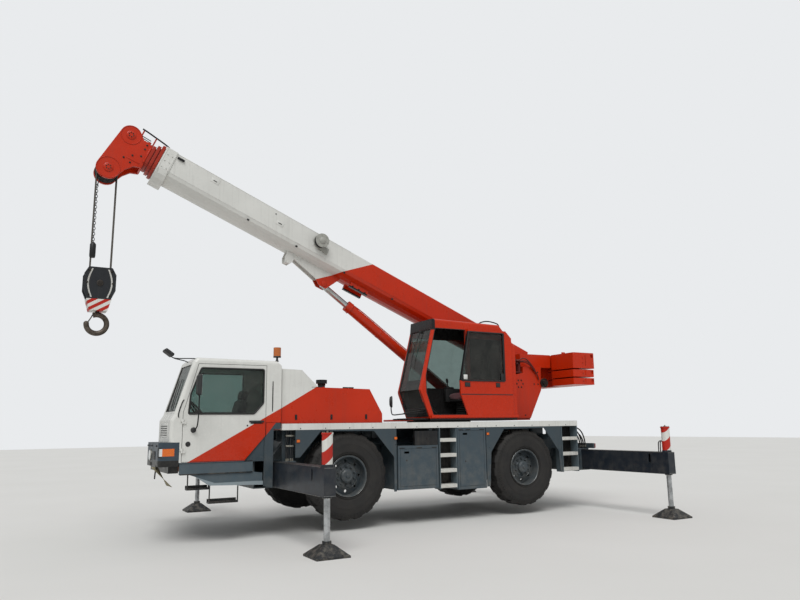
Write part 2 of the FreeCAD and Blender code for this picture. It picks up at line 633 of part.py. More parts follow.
def bumper():
    left = box(CAB_TOE_X + PLAY, BUMPER_FRONT_X, CAB_IN_Y - 40, HALF_WIDTH, 1095, BUMPER_TOP - PLAY)
    left = rounded(left, 55, lambda p, q: abs(p.z - q.z) > 100 and p.x > 5400)
    lamp_seat = box(5225, BUMPER_FRONT_X + 10, HALF_WIDTH - 60, HALF_WIDTH + 1, 1240, 1345)
    nose = box(FRAME_FRONT_X + PLAY, FRAME_FRONT_X + 140, -180, HALF_WIDTH - 60, NOSE_TOP - 100, NOSE_TOP - 4)
    right = box(5030, 5130, -HALF_WIDTH, CAB_IN_Y - 45, NOSE_TOP + PLAY, LOW_DECK_TOP)
    under = LOW_DECK_TOP - 27
    tray = box(4026, 5031, -HALF_WIDTH, CAB_IN_Y - 45, under - 1, LOW_DECK_TOP)
    legs = box(4026, 5031, -RAIL_OUT, -RAIL_IN, NOSE_TOP + PLAY, under)
    legs_left = box(4026, 5031, RAIL_IN, RAIL_IN + 30, NOSE_TOP + PLAY, under)
    skirt = box(4026, 5031, -HALF_WIDTH, -HALF_WIDTH + 15, NOSE_TOP - 100, under)
    return group([fuse([left.cut(lamp_seat), nose]), fuse([right, tray, legs, legs_left, skirt])])


def lamps():
    indicator = box(5225, BUMPER_FRONT_X - 12, HALF_WIDTH - 60, HALF_WIDTH - 2, 1240, 1345)
    head_left = rod(70, (BUMPER_FRONT_X, 640, 1250), (BUMPER_FRONT_X + 18, 640, 1250))
    head_right = rod(60, (5130, -900, 1195), (5148, -900, 1195))
    shapes = [indicator, head_left, head_right]
    side = HALF_WIDTH + PLAY
    for x, z in [(3380, 1390), (1660, 1400), (-240, 1440)]:
        shapes += both_sides(box(x - 24, x + 24, side, side + 14, z, z + 40))
    rear = FRAME_REAR_X - PLAY
    shapes += both_sides(box(rear - 45, rear, 870, 1130, BEAM_TOP + 30, BEAM_TOP + 118))
    x, y = BEACON_X, HALF_WIDTH - 110
    stem = rod(15, (x, y, CAB_ROOF - 80), (x, y, CAB_ROOF + 90)).cut(plate(cab_profile(-PLAY), "y", CAB_IN_Y, HALF_WIDTH))
    dome = rod(58, (x, y, CAB_ROOF + 60), (x, y, CAB_ROOF + 205))
    shapes.append(fuse([stem, dome]))
    return group(shapes)


def cab_steps():
    face = HALF_WIDTH - 5
    upper = box(4085, CAB_TOE_X - 10, face - 15, face, 980, CAB_BOTTOM)
    lower = plate([(CAB_TOE_X - 60, 982), (4085, 982), (3930, 960), (3930, 846), (4640, 846), (CAB_TOE_X - 150, 975)], "y",
                  face - 25, face - 14)
    slope = plate([(5085, 1109), (5085, 1054), (4712, 812), (3917, 785), (3917, 842), (4674, 881), (5035, 1109)], "y",
                  face - 45, face - 15)
    shapes = [upper, lower, slope]
    for x, z0, z1 in STEP_HANGERS:
        shapes.append(box(x, x + 16, face - 45, face - 29, z0, z1))
    for x0, x1, z in STEP_TREADS:
        shapes.append(box(x0, x1, face - 150, face - 29, z, z + 24))
        shapes.append(box(x0, x1, face - 150, face - 142, z, z + 60))
    return fuse(shapes)


# Outriggers
def beam(key):
    side = 1 if key[1] == "l" else -1
    x = BEAM_X[key]
    half = BEAM_W / 2
    end = JACK_Y + JACK_POST_R + 16
    arm = box(x - half, x + half, BEAM_INNER_Y, end, BEAM_BOTTOM, BEAM_TOP)
    post = rod(JACK_POST_R, (x, JACK_Y, BEAM_TOP - 1), (x, JACK_Y, JACK_POST_TOP))
    foot = rod(JACK_POST_R + 9, (x, JACK_Y, BEAM_TOP - 1), (x, JACK_Y, BEAM_TOP + 26))
    cap = rod(JACK_POST_R + 7, (x, JACK_Y, JACK_POST_TOP - 24), (x, JACK_Y, JACK_POST_TOP))
    gland = rod(JACK_ROD_R + 22, (x, JACK_Y, BEAM_BOTTOM - 14), (x, JACK_Y, BEAM_BOTTOM + 1))
    shoe = BEAM_CLEAR - PLAY
    pads = box(x - half - shoe, x + half + shoe, BEAM_INNER_Y, BEAM_INNER_Y + 90, BEAM_BOTTOM - shoe, BEAM_TOP + shoe)
    solid = fuse([arm, post, foot, cap, gland, pads])
    hollow = box(x - half + BEAM_WALL, x + half - BEAM_WALL, BEAM_INNER_Y - 1, JACK_Y - JACK_POST_R - 40,
                 BEAM_BOTTOM + BEAM_WALL, BEAM_TOP - BEAM_WALL)
    neck = rod(JACK_ROD_R + RUNNING_FIT, (x, JACK_Y, BEAM_BOTTOM - 20), (x, JACK_Y, BEAM_BOTTOM + JACK_GLAND + 1))
    well = rod(JACK_ROD_R + JACK_BORE_PLAY, (x, JACK_Y, BEAM_BOTTOM + JACK_GLAND), (x, JACK_Y, JACK_POST_TOP - 30))
    middle = (BEAM_BOTTOM + BEAM_TOP) / 2 + 75
    slot = [rod(BEAM_SLOT_R, (x, BEAM_SLOT_Y, z), (x + half + 1, BEAM_SLOT_Y, z)) for z in (middle - 56, middle + 56)]
    slot.append(box(x, x + half + 1, BEAM_SLOT_Y - BEAM_SLOT_R, BEAM_SLOT_Y + BEAM_SLOT_R, middle - 56, middle + 56))
    solid = cut(solid, [hollow, well, neck] + slot)
    return solid if side > 0 else mirror_y(solid)


def jack(key):
    side = 1 if key[1] == "l" else -1
    x = BEAM_X[key]
    top = BEAM_BOTTOM + 160
    low, high = PAD_SIDE / 2, PAD_TOP_SIDE / 2
    edge = box(x - low, x + low, JACK_Y - low, JACK_Y + low, 0, PAD_EDGE)
    lower_wire = Part.makePolygon([vec(x - low, JACK_Y - low, PAD_EDGE), vec(x + low, JACK_Y - low, PAD_EDGE),
                                   vec(x + low, JACK_Y + low, PAD_EDGE), vec(x - low, JACK_Y + low, PAD_EDGE),
                                   vec(x - low, JACK_Y - low, PAD_EDGE)])
    upper_wire = Part.makePolygon([vec(x - high, JACK_Y - high, PAD_H), vec(x + high, JACK_Y - high, PAD_H),
                                   vec(x + high, JACK_Y + high, PAD_H), vec(x - high, JACK_Y + high, PAD_H),
                                   vec(x - high, JACK_Y - high, PAD_H)])
    pyramid = Part.makeLoft([lower_wire, upper_wire], True)
    socket = rod(JACK_ROD_R + 18, (x, JACK_Y, PAD_H - 5), (x, JACK_Y, PAD_H + 40))
    stem = rod(JACK_ROD_R, (x, JACK_Y, PAD_H), (x, JACK_Y, top))
    solid = fuse([edge, pyramid, socket, stem])
    return solid if side > 0 else mirror_y(solid)


# Superstructure
def turntable():
    base_low = SLEW_TOP
    base_top = OP_CAB_BOTTOM
    outer = SIDE_PLATE_IN + SIDE_PLATE_T
    base = box(BASE_REAR_X, 900, 20 - SIDE_BOX_OUT, SIDE_BOX_OUT - 20, base_low, base_top)
    base = fuse([base, rod(SLEW_R + 20, (0, 0, base_low), (0, 0, base_top - 12))])
    outline = [
        (BASE_REAR_X, base_top - 1), (-420, base_top - 1), (-420, 2050), (-1250, 2560), (-1420, 2600),
        (-1700, 2640), (-1850, 2790), (-1850, WEIGHT_TOP), (WEIGHT_NOTCH_X, WEIGHT_TOP), (WEIGHT_NOTCH_X, 2790),
        (-2540, 2700), (-2540, 2400), (TAIL_X, 2330),
    ]
    shapes = [base] + both_sides(plate(outline, "y", SIDE_PLATE_IN, outer))
    front = OP_CAB_REAR - 5
    side_box = [
        (BASE_REAR_X, base_top - 1), (front, base_top - 1), (front, 2370), (-1250, 2560), (-1640, 2640),
        (-1640, 2765), (TAIL_X - 15, 2765), (TAIL_X + 5, 2302),
    ]
    shapes += both_sides(plate(side_box, "y", outer - 1, SIDE_BOX_OUT))
    # upper arms that carry the counterweight
    shapes += both_sides(box(WEIGHT_FRONT_X + 12, -1640, outer - 1, SIDE_BOX_OUT - 70, 2764, WEIGHT_TOP))
    shapes += both_sides(box(WEIGHT_NOTCH_X, WEIGHT_FRONT_X + 13, outer - 1, 465, 2790, WEIGHT_TOP))
    shapes += both_sides(rod(110, (FOOT_X, SIDE_PLATE_IN, FOOT_Z), (FOOT_X, outer + 20, FOOT_Z)))
    shapes.append(rod(PIVOT_R, (PIVOT_X, -outer - 30, PIVOT_Z), (PIVOT_X, outer + 30, PIVOT_Z)))
    shapes.append(rod(FOOT_PIN_R, (FOOT_X, -outer, FOOT_Z), (FOOT_X, outer, FOOT_Z)))
    shapes += both_sides(box(FOOT_X - 90, FOOT_X + 90, 110, 135, base_top - 1, FOOT_Z + 70))
    shapes.append(box(OP_CAB_REAR, OP_CAB_FRONT - 10, 500, OP_CAB_OUT - 15, base_low, base_top - 0.5))
    shapes.append(box(BASE_REAR_X, BASE_REAR_X + 30, -outer, outer, base_top - 1, 1790))
    # winch motor and its gearbox flange on the left
    motor = (
        (118, outer - 1, outer + 60), (92, outer + 50, SIDE_BOX_OUT + 40), (60, SIDE_BOX_OUT + 30, SIDE_BOX_OUT + 75),
    )
    for r, y0, y1 in motor:
        shapes.append(rod(r, (MOTOR_X, y0, MOTOR_Z), (MOTOR_X, y1, MOTOR_Z)))
    return fuse(shapes)


def op_profile(t):
    return [
        (OP_CAB_REAR + t, OP_CAB_BOTTOM + t), (OP_CAB_FRONT - t, OP_CAB_BOTTOM + t), (OP_CAB_BULGE - t, 2240),
        (1071 - t, 2456), (850 - t, 3333), (835 - t, OP_CAB_ROOF - t), (-636, OP_CAB_ROOF - 32 - t),
        (-771 + t, OP_CAB_ROOF - 178 - t), (OP_CAB_REAR + t, OP_CAB_ROOF - 396),
    ]


def op_cab():
    head = OP_CAB_ROOF - 172
    outer = plate(op_profile(0), "y", OP_CAB_IN, OP_CAB_OUT)
    outer = rounded(outer, OP_EDGE_R, lambda p, q: abs(p.y - q.y) < 1 and min(p.z, q.z) > 2400 and
                    max(p.z, q.z) > OP_CAB_ROOF - 400)
    inner = plate(op_profile(OP_WALL), "y", OP_CAB_IN + OP_WALL, OP_CAB_OUT - OP_WALL)
    front_glass = plate([(940, 1900), (1300, 1900), (1300, head), (760, head)], "y", OP_CAB_IN + 60, OP_CAB_OUT - 60)
    opening = plate([(150, 1806), (868, 1806), (1004, 2194), (1009, 2489), (800, head), (150, head)], "y",
                    OP_CAB_OUT - OP_WALL - 5, OP_CAB_OUT + 5)
    behind = plate(OP_FIXED_WINDOW, "y", OP_CAB_OUT - OP_WALL - 5, OP_CAB_OUT + 5)
    inner_window = softened(plate(OP_SIDE_WINDOW, "y", OP_CAB_IN - 5, OP_CAB_IN + OP_WALL + 5), WINDOW_CORNER_R)
    rear_window = box(OP_CAB_REAR - 5, OP_CAB_REAR + OP_WALL + 5, OP_CAB_IN + 120, OP_CAB_OUT - 120, 2450, OP_CAB_ROOF - 480)
    shell = cut(outer, [inner, front_glass, opening, behind, inner_window, rear_window])
    rail = box(OP_CAB_REAR, OP_CAB_FRONT - 10, OP_CAB_OUT - 1, SLIDE_IN + SLIDE_DOOR_T, RAIL_Z - 45, RAIL_Z)
    return fuse([shell, rail])


def op_glass():
    head = OP_CAB_ROOF - 172
    outer_line = [(980, 1900), (OP_CAB_BULGE - 20, 2240), (1051, 2456), (830, head)]
    bent = outer_line + [(x - 6, z) for x, z in reversed(outer_line)]
    front = plate(bent, "y", OP_CAB_IN + 60, OP_CAB_OUT - 60)
    inner = softened(plate(OP_SIDE_WINDOW, "y", OP_CAB_IN + 17, OP_CAB_IN + 23), WINDOW_CORNER_R)
    rear = box(OP_CAB_REAR + 17, OP_CAB_REAR + 23, OP_CAB_IN + 120, OP_CAB_OUT - 120, 2450, OP_CAB_ROOF - 480)
    outer = plate(OP_FIXED_WINDOW, "y", OP_CAB_OUT - 23, OP_CAB_OUT - 17)
    return group([front, inner, rear, outer])


def slide_door():
    low = RAIL_Z + PLAY
    top = OP_CAB_ROOF - 155
    panel = plate([(-870, low), (164, low), (313, 2165), (317, 2414), (115, top), (-740, top), (-870, top - 130)], "y",
                  SLIDE_IN, SLIDE_IN + SLIDE_DOOR_T)
    window = softened(plate(SLIDE_WINDOW, "y", SLIDE_IN - 1, SLIDE_IN + SLIDE_DOOR_T + 1), 24)
    grips = [box(x0, x1, SLIDE_IN + SLIDE_DOOR_T - 12, SLIDE_IN + SLIDE_DOOR_T + 1, 2290, 2385)
             for x0, x1 in ((105, 225), (-570, -470))]
    return cut(panel, [window] + grips)


def slide_door_glass():
    return softened(plate(SLIDE_WINDOW, "y", SLIDE_IN + 13, SLIDE_IN + 19), 24)


def op_interior():
    floor = OP_CAB_BOTTOM + OP_WALL + PLAY
    y = (OP_CAB_IN + OP_CAB_OUT) / 2
    seat = fuse([
        box(-330, 60, y - 170, y + 170, floor, 2080), box(-380, 120, y - 230, y + 230, 2080, 2200),
        plate([(-380, 2200), (-250, 2200), (-400, 2900), (-500, 2900)], "y", y - 220, y + 220),
        box(-300, 180, y - 320, y - 240, 2050, 2330), box(-300, 180, y + 240, y + 320, 2050, 2330),
        box(-300, 100, y - 321, y + 321, 2050, 2090),
    ])
    pedals = box(560, 800, y - 150, y + 150, floor, floor + 180)
    return group([seat, pedals])


def counterweight():
    def slab(z0, z1, shrink):
        h = WEIGHT_HALF - shrink
        rear = WEIGHT_REAR_X + shrink
        front, notch = WEIGHT_FRONT_X, WEIGHT_NOTCH_X
        outline = [(front, -h), (front, -565), (notch, -475), (notch, 475), (front, 565), (front, h), (rear, h), (rear, -h)]
        return rounded(plate(outline, "z", z0, z1), 28, lambda p, q: abs(p.z - q.z) > 1 and abs(p.y) > h - 1)
    shapes = [slab(z0, z1, shrink) for z0, z1, shrink in WEIGHT_SLABS]
    spacer = box(-3000, -2780, -800, 800, WEIGHT_BOTTOM, 2800)
    body = fuse(shapes + [spacer])
    # lifting recesses in the rear corners
    pockets = []
    for z in (2965, 2640, 2470):
        for y in (-WEIGHT_HALF - 1, WEIGHT_HALF - 34):
            pockets.append(box(-2985, -2915, y, y + 35, z - 32, z + 32))
    return cut(body, pockets)


def winch():
    x, z = -1690, 1985
    rope = rod(165, (x, -215, z), (x, 215, z))
    flanges = [rod(195, (x, s * 215 - 12, z), (x, s * 215 + 12, z)) for s in (-1, 1)]
    shaft = rod(60, (x, -SIDE_PLATE_IN, z), (x, SIDE_PLATE_IN, z))
    return fuse([rope, shaft] + flanges)


# Luffing cylinder, drawn along its own line from foot pin to rod eye
EYE_X, EYE_Z = boom_point(EYE_U, EYE_W)
LUFF_ANGLE = math.atan2(EYE_Z - FOOT_Z, EYE_X - FOOT_X)
LUFF_LENGTH = math.hypot(EYE_Z - FOOT_Z, EYE_X - FOOT_X)


def along_cylinder(distance):
    return (FOOT_X + distance * math.cos(LUFF_ANGLE), 0, FOOT_Z + distance * math.sin(LUFF_ANGLE))


def luff_barrel():
    start = along_cylinder(60)
    body = rod(BARREL_R, start, along_cylinder(BARREL_LENGTH))
    gland = rod(BARREL_R + 12, along_cylinder(BARREL_LENGTH - 90), along_cylinder(BARREL_LENGTH))
    foot = rod(85, (FOOT_X, -60, FOOT_Z), (FOOT_X, 60, FOOT_Z))
    bore = rod(LUFF_ROD_R + 8, along_cylinder(170), along_cylinder(BARREL_LENGTH - 120))
    neck = rod(LUFF_ROD_R + RUNNING_FIT, along_cylinder(BARREL_LENGTH - 130), along_cylinder(BARREL_LENGTH + 1))
    pin_hole = rod(FOOT_PIN_R + RUNNING_FIT, (FOOT_X, -100, FOOT_Z), (FOOT_X, 100, FOOT_Z))
    return cut(fuse([body, gland, foot]), [bore, neck, pin_hole])


def luff_rod():
    shaft = rod(LUFF_ROD_R, along_cylinder(LUFF_LENGTH - LUFF_ROD_LENGTH), along_cylinder(LUFF_LENGTH - 20))
    eye = rod(EYE_R, (EYE_X, -EYE_HALF, EYE_Z), (EYE_X, EYE_HALF, EYE_Z))
    hole = rod(30, (EYE_X, -EYE_HALF - 1, EYE_Z), (EYE_X, EYE_HALF + 1, EYE_Z))
    return fuse([shaft, eye]).cut(hole)


# Boom sections: flat top, straight sides down to a crease, and a rounded belly
def section(inset, u0, u1, grow=0.0, drop=0.0):
    half = BOOM_HALF - inset + grow
    top = BOOM_TOP - inset + grow
    belly = BOOM_BELLY + inset - grow - drop
    knee = BOOM_BELLY + BOOM_KNEE
    points = [(-half, top - 16), (-half + 16, top), (half - 16, top), (half, top - 16), (half, knee)]
    for i in range(1, 8):
        a = math.pi * i / 8
        points.append((half * math.cos(a), knee - (knee - belly) * math.sin(a)))
    points.append((-half, knee))
    return plate(points, "x", u0, u1)


def hollow_section(inset, u0, u1, wall):
    return section(inset, u0, u1).cut(section(inset + wall, u0 - 1, u1 + 1))


def boom_base():
    tube = hollow_section(0, BOOM_REAR_U, BOOM_FRONT_U, BOOM_WALL)
    collar_u = BOOM_FRONT_U - COLLAR_LENGTH
    collar = section(0, collar_u, BOOM_FRONT_U, COLLAR_T, COLLAR_DROP).cut(section(1, collar_u - 1, BOOM_FRONT_U + 1))
    shapes = [tube, collar]
    foot = [(-PIVOT_R - 70, 0), (-60, -120), (60, -120), (150, -40), (900, BOOM_BELLY + 60), (900, BOOM_BELLY + 170),
            (BOOM_REAR_U + 5, BOOM_TOP - 200), (BOOM_REAR_U + 5, BOOM_BELLY)]
    for cheek in both_sides(plate(foot, "y", BOOM_HALF - 1, BOOM_HALF + 24)):
        shapes.append(cheek)
    shapes.append(rod(PIVOT_R + 60, (0, -BOOM_HALF - 24, 0), (0, BOOM_HALF + 24, 0)))
    # ears for the luffing rod's pin, running into a tapered plate under the belly
    ear = [(EYE_U - 75, EYE_W - 60), (EYE_U + 75, EYE_W - 60), (EYE_U + 180, EYE_W + 20), (EYE_U + 690, EYE_W + 151),
           (EYE_U + 700, BOOM_BELLY + 9), (EYE_U - 260, BOOM_BELLY + 9)]
    for cheek in both_sides(plate(ear, "y", EAR_GAP, EAR_GAP + EAR_T)):
        shapes.append(cheek)
    bracket_u = EYE_U + 690
    for cheek in both_sides(plate([(bracket_u, EYE_W + 100), (bracket_u + 40, EYE_W + 30), (bracket_u + 130, EYE_W + 30),
                                   (bracket_u + 165, EYE_W + 110), (bracket_u + 165, BOOM_BELLY + 9),
                                   (bracket_u, BOOM_BELLY + 9)], "y", EAR_GAP, EAR_GAP + EAR_T)):
        shapes.append(cheek)
    shapes.append(rod(46, (bracket_u + 85, -EAR_GAP - 4, EYE_W + 80), (bracket_u + 85, EAR_GAP + 4, EYE_W + 80)))
    # cable drum on the left side: arbor, winding and two flanges on a bracket
    for r, y0, y1 in DRUM_STEPS:
        shapes.append(rod(r, (DRUM_U, BOOM_HALF + y0, DRUM_W), (DRUM_U, BOOM_HALF + y1, DRUM_W)))
    shapes.append(plate([(DRUM_U - 190, DRUM_W - 120), (DRUM_U - 40, DRUM_W - 150), (DRUM_U + 40, DRUM_W + 30),
                         (DRUM_U - 60, DRUM_W + 60)], "y", BOOM_HALF - 2, BOOM_HALF + 26))
    # rest blocks under the belly, one each side of the luffing barrel
    rest = box(3560, 3950, BARREL_R + 20, BARREL_R + 78, BOOM_BELLY - 60, BOOM_BELLY + 60)
    shapes += both_sides(rest.cut(section(BOOM_WALL / 2, 3500, 4000)))
    body = fuse(shapes)
    pivot = rod(PIVOT_R + RUNNING_FIT, (0, -600, 0), (0, 600, 0))
    return boom_to_row(body.cut(pivot))


def inset_of(index):
    """Gap and wall of the sections outside number index, from the base section's outside."""
    return BOOM_WALL + 8 + index * (BOOM_WALL + SECTION_STEP)


def tele(index):
    inset = inset_of(index)
    cavity = BOOM_WALL if index == 0 else inset_of(index - 1) + BOOM_WALL
    front = BOOM_FRONT_U + TELE_OUT[index]
    rear = BOOM_REAR_U + 260 + 120 * index
    tube = hollow_section(inset, rear, front, BOOM_WALL)
    collar = section(inset, front - 52, front, 20).cut(section(inset + 1, front - 53, front + 1))
    shoe = section(cavity + PLAY, rear + 20, rear + 140).cut(section(inset + 1, rear + 19, rear + 141))
    return boom_to_row(fuse([tube, collar, shoe]))


def boom_head():
    inset = inset_of(2) + BOOM_WALL
    front = BOOM_FRONT_U + TELE_OUT[2]
    half = BOOM_HALF - inset
    # web between the two round sheave housings, with a waist at the front
    outline = [
        (front + PLAY, 470), (front + PLAY, BOOM_TOP - inset), (front + 140, BOOM_TOP + 10),
        (TOP_SHEAVE_U - 110, TOP_SHEAVE_W + 165), (TOP_SHEAVE_U, TOP_SHEAVE_W + 40),
        (TOP_SHEAVE_U + 150, TOP_SHEAVE_W - 120), (TOP_SHEAVE_U + 95, 440), (SHEAVE_U + 120, SHEAVE_W + 160),
        (SHEAVE_U, SHEAVE_W - 40), (SHEAVE_U - 170, SHEAVE_W + 105), (front + 160, 330),
    ]
    cheek = fuse([
        plate(outline, "y", half - 34, half),
        rod(TOP_HOUSING_R, (TOP_SHEAVE_U, half - 34, TOP_SHEAVE_W), (TOP_SHEAVE_U, half, TOP_SHEAVE_W)),
        rod(LOW_HOUSING_R, (SHEAVE_U, half - 34, SHEAVE_W), (SHEAVE_U, half, SHEAVE_W)),
        rod(SHEAVE_PIN_R + 26, (TOP_SHEAVE_U, half - 1, TOP_SHEAVE_W), (TOP_SHEAVE_U, half + 16, TOP_SHEAVE_W)),
        rod(SHEAVE_PIN_R + 26, (SHEAVE_U, half - 1, SHEAVE_W), (SHEAVE_U, half + 16, SHEAVE_W)),
        plate([(front + 190, BOOM_TOP + 20), (front + 205, BOOM_TOP + 120), (front + 265, BOOM_TOP + 120),
               (front + 300, BOOM_TOP + 60)], "y", half - 34, half - 14),
    ])
    shapes = both_sides(cheek)
    shapes.append(section(inset + PLAY, front - 80, front + 30))
    shapes.append(rod(18, (front + 235, 20 - half, BOOM_TOP + 92), (front + 235, half - 20, BOOM_TOP + 92)))
    shapes.append(rod(SHEAVE_PIN_R, (SHEAVE_U, -half - 20, SHEAVE_W), (SHEAVE_U, half + 20, SHEAVE_W)))
    shapes.append(rod(SHEAVE_PIN_R, (TOP_SHEAVE_U, -half - 20, TOP_SHEAVE_W), (TOP_SHEAVE_U, half + 20, TOP_SHEAVE_W)))
    for y in SHEAVE_Y:
        shapes.append(sheave(TOP_SHEAVE_U, y, TOP_SHEAVE_W, 30))
    shapes.append(box(front + 10, front + 200, 10 - half, half - 10, 400, 440))
    jib_bore = rod(JIB_PIN_R + RUNNING_FIT, (front + 200, -400, 600), (front + 200, 400, 600))
    return boom_to_row(fuse(shapes).cut(jib_bore))


# Hook: falls from the head's lower sheaves, a block with its sheaves, and the hook below
HEAD_X, HEAD_Z = boom_point(SHEAVE_U, SHEAVE_W)
BLOCK_TOP = HEAD_Z - HOOK_TOP_DROP


def sheave(x, y, z, bore):
    profile = [(bore, -24), (SHEAVE_R, -24), (SHEAVE_R, -18), (SHEAVE_ROOT_R, -ROPE_R - 2), (SHEAVE_ROOT_R, ROPE_R + 2),
               (SHEAVE_R, 18), (SHEAVE_R, 24), (bore, 24)]
    return turned(profile, x, y, z)


def head_sheaves():
    wheels = [sheave(HEAD_X, y, HEAD_Z, SHEAVE_PIN_R + RUNNING_FIT) for y in SHEAVE_Y]
    return fuse(wheels + [ring(60, SHEAVE_PIN_R + RUNNING_FIT, (HEAD_X, -80, HEAD_Z), (HEAD_X, 80, HEAD_Z))])


def hook_falls():
    low = BLOCK_TOP - BLOCK_SHEAVE_DROP
    return group([rod(ROPE_R, (HEAD_X + dx, y, low), (HEAD_X + dx, y, HEAD_Z))
                  for y in SHEAVE_Y for dx in (-FALL_OFFSET, FALL_OFFSET)])


def hook_block():
    z0 = BLOCK_TOP - BLOCK_H
    outline = [(-BLOCK_HALF_X + 60, 0), (BLOCK_HALF_X - 60, 0), (BLOCK_HALF_X, -110), (BLOCK_HALF_X, -360),
               (BLOCK_HALF_X - 60, -BLOCK_H), (-BLOCK_HALF_X + 60, -BLOCK_H), (-BLOCK_HALF_X, -360), (-BLOCK_HALF_X, -110)]
    points = [(HEAD_X + x, BLOCK_TOP + z) for x, z in outline]
    cheeks = both_sides(plate(points, "y", BLOCK_HALF_Y - 16, BLOCK_HALF_Y))
    weight_points = [(HEAD_X - 180, z0 + 2), (HEAD_X + 180, z0 + 2), (HEAD_X + 130, z0 - BLOCK_WEIGHT_H),
                     (HEAD_X - 130, z0 - BLOCK_WEIGHT_H)]
    weight = plate(weight_points, "y", -BLOCK_HALF_Y, BLOCK_HALF_Y)
    zs = BLOCK_TOP - BLOCK_SHEAVE_DROP
    sheaves = [sheave(HEAD_X, y, zs, 20) for y in SHEAVE_Y]
    pin = rod(26, (HEAD_X, -BLOCK_HALF_Y, zs), (HEAD_X, BLOCK_HALF_Y, zs))
    body = fuse(cheeks + [weight, pin] + sheaves)
    swivel_hole = rod(SWIVEL_R + RUNNING_FIT, (HEAD_X, 0, z0 - BLOCK_WEIGHT_H - 10), (HEAD_X, 0, z0 - 40))
    return body.cut(swivel_hole)


def hook():
    z0 = BLOCK_TOP - BLOCK_H - BLOCK_WEIGHT_H
    eye_z = z0 - HOOK_BOWL_R - HOOK_BAR_R - 12
    shank = rod(SWIVEL_R, (HEAD_X, 0, eye_z + HOOK_BOWL_R - 10), (HEAD_X, 0, z0 + 120))
    bowl = Part.makeTorus(HOOK_BOWL_R, HOOK_BAR_R, vec(HEAD_X, 0, eye_z), vec(0, 1, 0))
    gap = plate([(HEAD_X + 20, eye_z + 10), (HEAD_X + 220, eye_z - 10), (HEAD_X + 220, eye_z + 190), (HEAD_X + 75, eye_z + 190)],
                "y", -60, 60)
    tip = Part.makeSphere(HOOK_BAR_R, vec(HEAD_X + HOOK_BOWL_R, 0, eye_z + 2))
    latch = plate([(HEAD_X + 62, eye_z + 118), (HEAD_X + 74, eye_z + 130), (HEAD_X + 132, eye_z + 26),
                   (HEAD_X + 116, eye_z + 18)], "y", -16, 16)
    return fuse([bowl.cut(gap), shank, tip, latch])


def build():
    os.makedirs(OUT, exist_ok=True)
    for key in BEAM_X:
        keep("outrigger_beam_" + key, beam(key))
        keep("outrigger_jack_" + key, jack(key))
    for end, x, arm_dir in (("front", FRONT_AXLE_X, -1), ("rear", REAR_AXLE_X, 1)):
        for side_name, side in (("left", 1), ("right", -1)):
            keep("tyre_" + end + "_" + side_name, tyre(x, side))
            keep("rim_" + end + "_" + side_name, rim(x, side))
            keep("knuckle_" + end + "_" + side_name, knuckle(x, side, arm_dir))
        keep("tie_rod_" + end, tie_rod(x, arm_dir))
    nodes = {
        "axles": group([axle(FRONT_AXLE_X), axle(REAR_AXLE_X)]),
        "chassis_frame": frame(),
        "deck": deck(),
        "side_panels": side_panels(),
        "side_lockers": side_lockers(),
        "ladders": ladders(),
        "engine_hood": hood(),
        "engine_block": engine(),
        "carrier_cab": cab_shell(),
        "carrier_cab_glass": cab_glass(),
        "carrier_cab_interior": cab_interior(),
        "carrier_door": cab_door(),
        "carrier_door_glass": door_glass(),
        "door_mirror": door_mirror(),
        "bumper": bumper(),
        "lamps": lamps(),
        "cab_steps": cab_steps(),
        "turntable": turntable(),
        "operator_cab": op_cab(),
        "operator_cab_glass": op_glass(),
        "operator_seat": op_interior(),
        "operator_door": slide_door(),
        "operator_door_glass": slide_door_glass(),
        "counterweight": counterweight(),
        "winch": winch(),
        "luffing_barrel": luff_barrel(),
        "luffing_rod": luff_rod(),
        "boom_base": boom_base(),
        "boom_section_2": tele(0),
        "boom_section_3": tele(1),
        "boom_section_4": tele(2),
        "boom_head": boom_head(),
        "hook_falls": hook_falls(),
        "head_sheaves": head_sheaves(),
        "hook_block": hook_block(),
        "hook": hook(),
    }
    for name, shape in nodes.items():
        keep(name, shape)


build()
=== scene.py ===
import json
import math

import bmesh
import bpy
from mathutils import Matrix, Vector

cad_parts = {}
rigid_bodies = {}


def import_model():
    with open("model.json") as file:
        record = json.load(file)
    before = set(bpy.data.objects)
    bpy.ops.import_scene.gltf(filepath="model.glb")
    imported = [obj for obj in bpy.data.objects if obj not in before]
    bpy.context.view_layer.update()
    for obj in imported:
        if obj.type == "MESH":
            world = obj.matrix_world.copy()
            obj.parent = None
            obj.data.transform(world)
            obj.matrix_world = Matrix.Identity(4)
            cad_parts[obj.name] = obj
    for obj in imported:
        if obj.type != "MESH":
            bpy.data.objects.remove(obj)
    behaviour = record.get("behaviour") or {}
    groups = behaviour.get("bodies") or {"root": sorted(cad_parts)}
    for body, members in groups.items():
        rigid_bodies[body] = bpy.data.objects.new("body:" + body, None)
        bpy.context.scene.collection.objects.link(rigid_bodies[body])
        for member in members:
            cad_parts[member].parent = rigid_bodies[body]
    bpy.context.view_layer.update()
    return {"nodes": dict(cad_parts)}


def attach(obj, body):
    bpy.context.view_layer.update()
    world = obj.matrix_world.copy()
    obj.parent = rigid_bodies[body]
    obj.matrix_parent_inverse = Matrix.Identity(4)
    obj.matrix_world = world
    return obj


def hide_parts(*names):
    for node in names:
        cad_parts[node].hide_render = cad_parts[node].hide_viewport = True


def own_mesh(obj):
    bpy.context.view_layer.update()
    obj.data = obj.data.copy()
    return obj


for unused in bpy.data.objects[:]:
    bpy.data.objects.remove(unused)
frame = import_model()


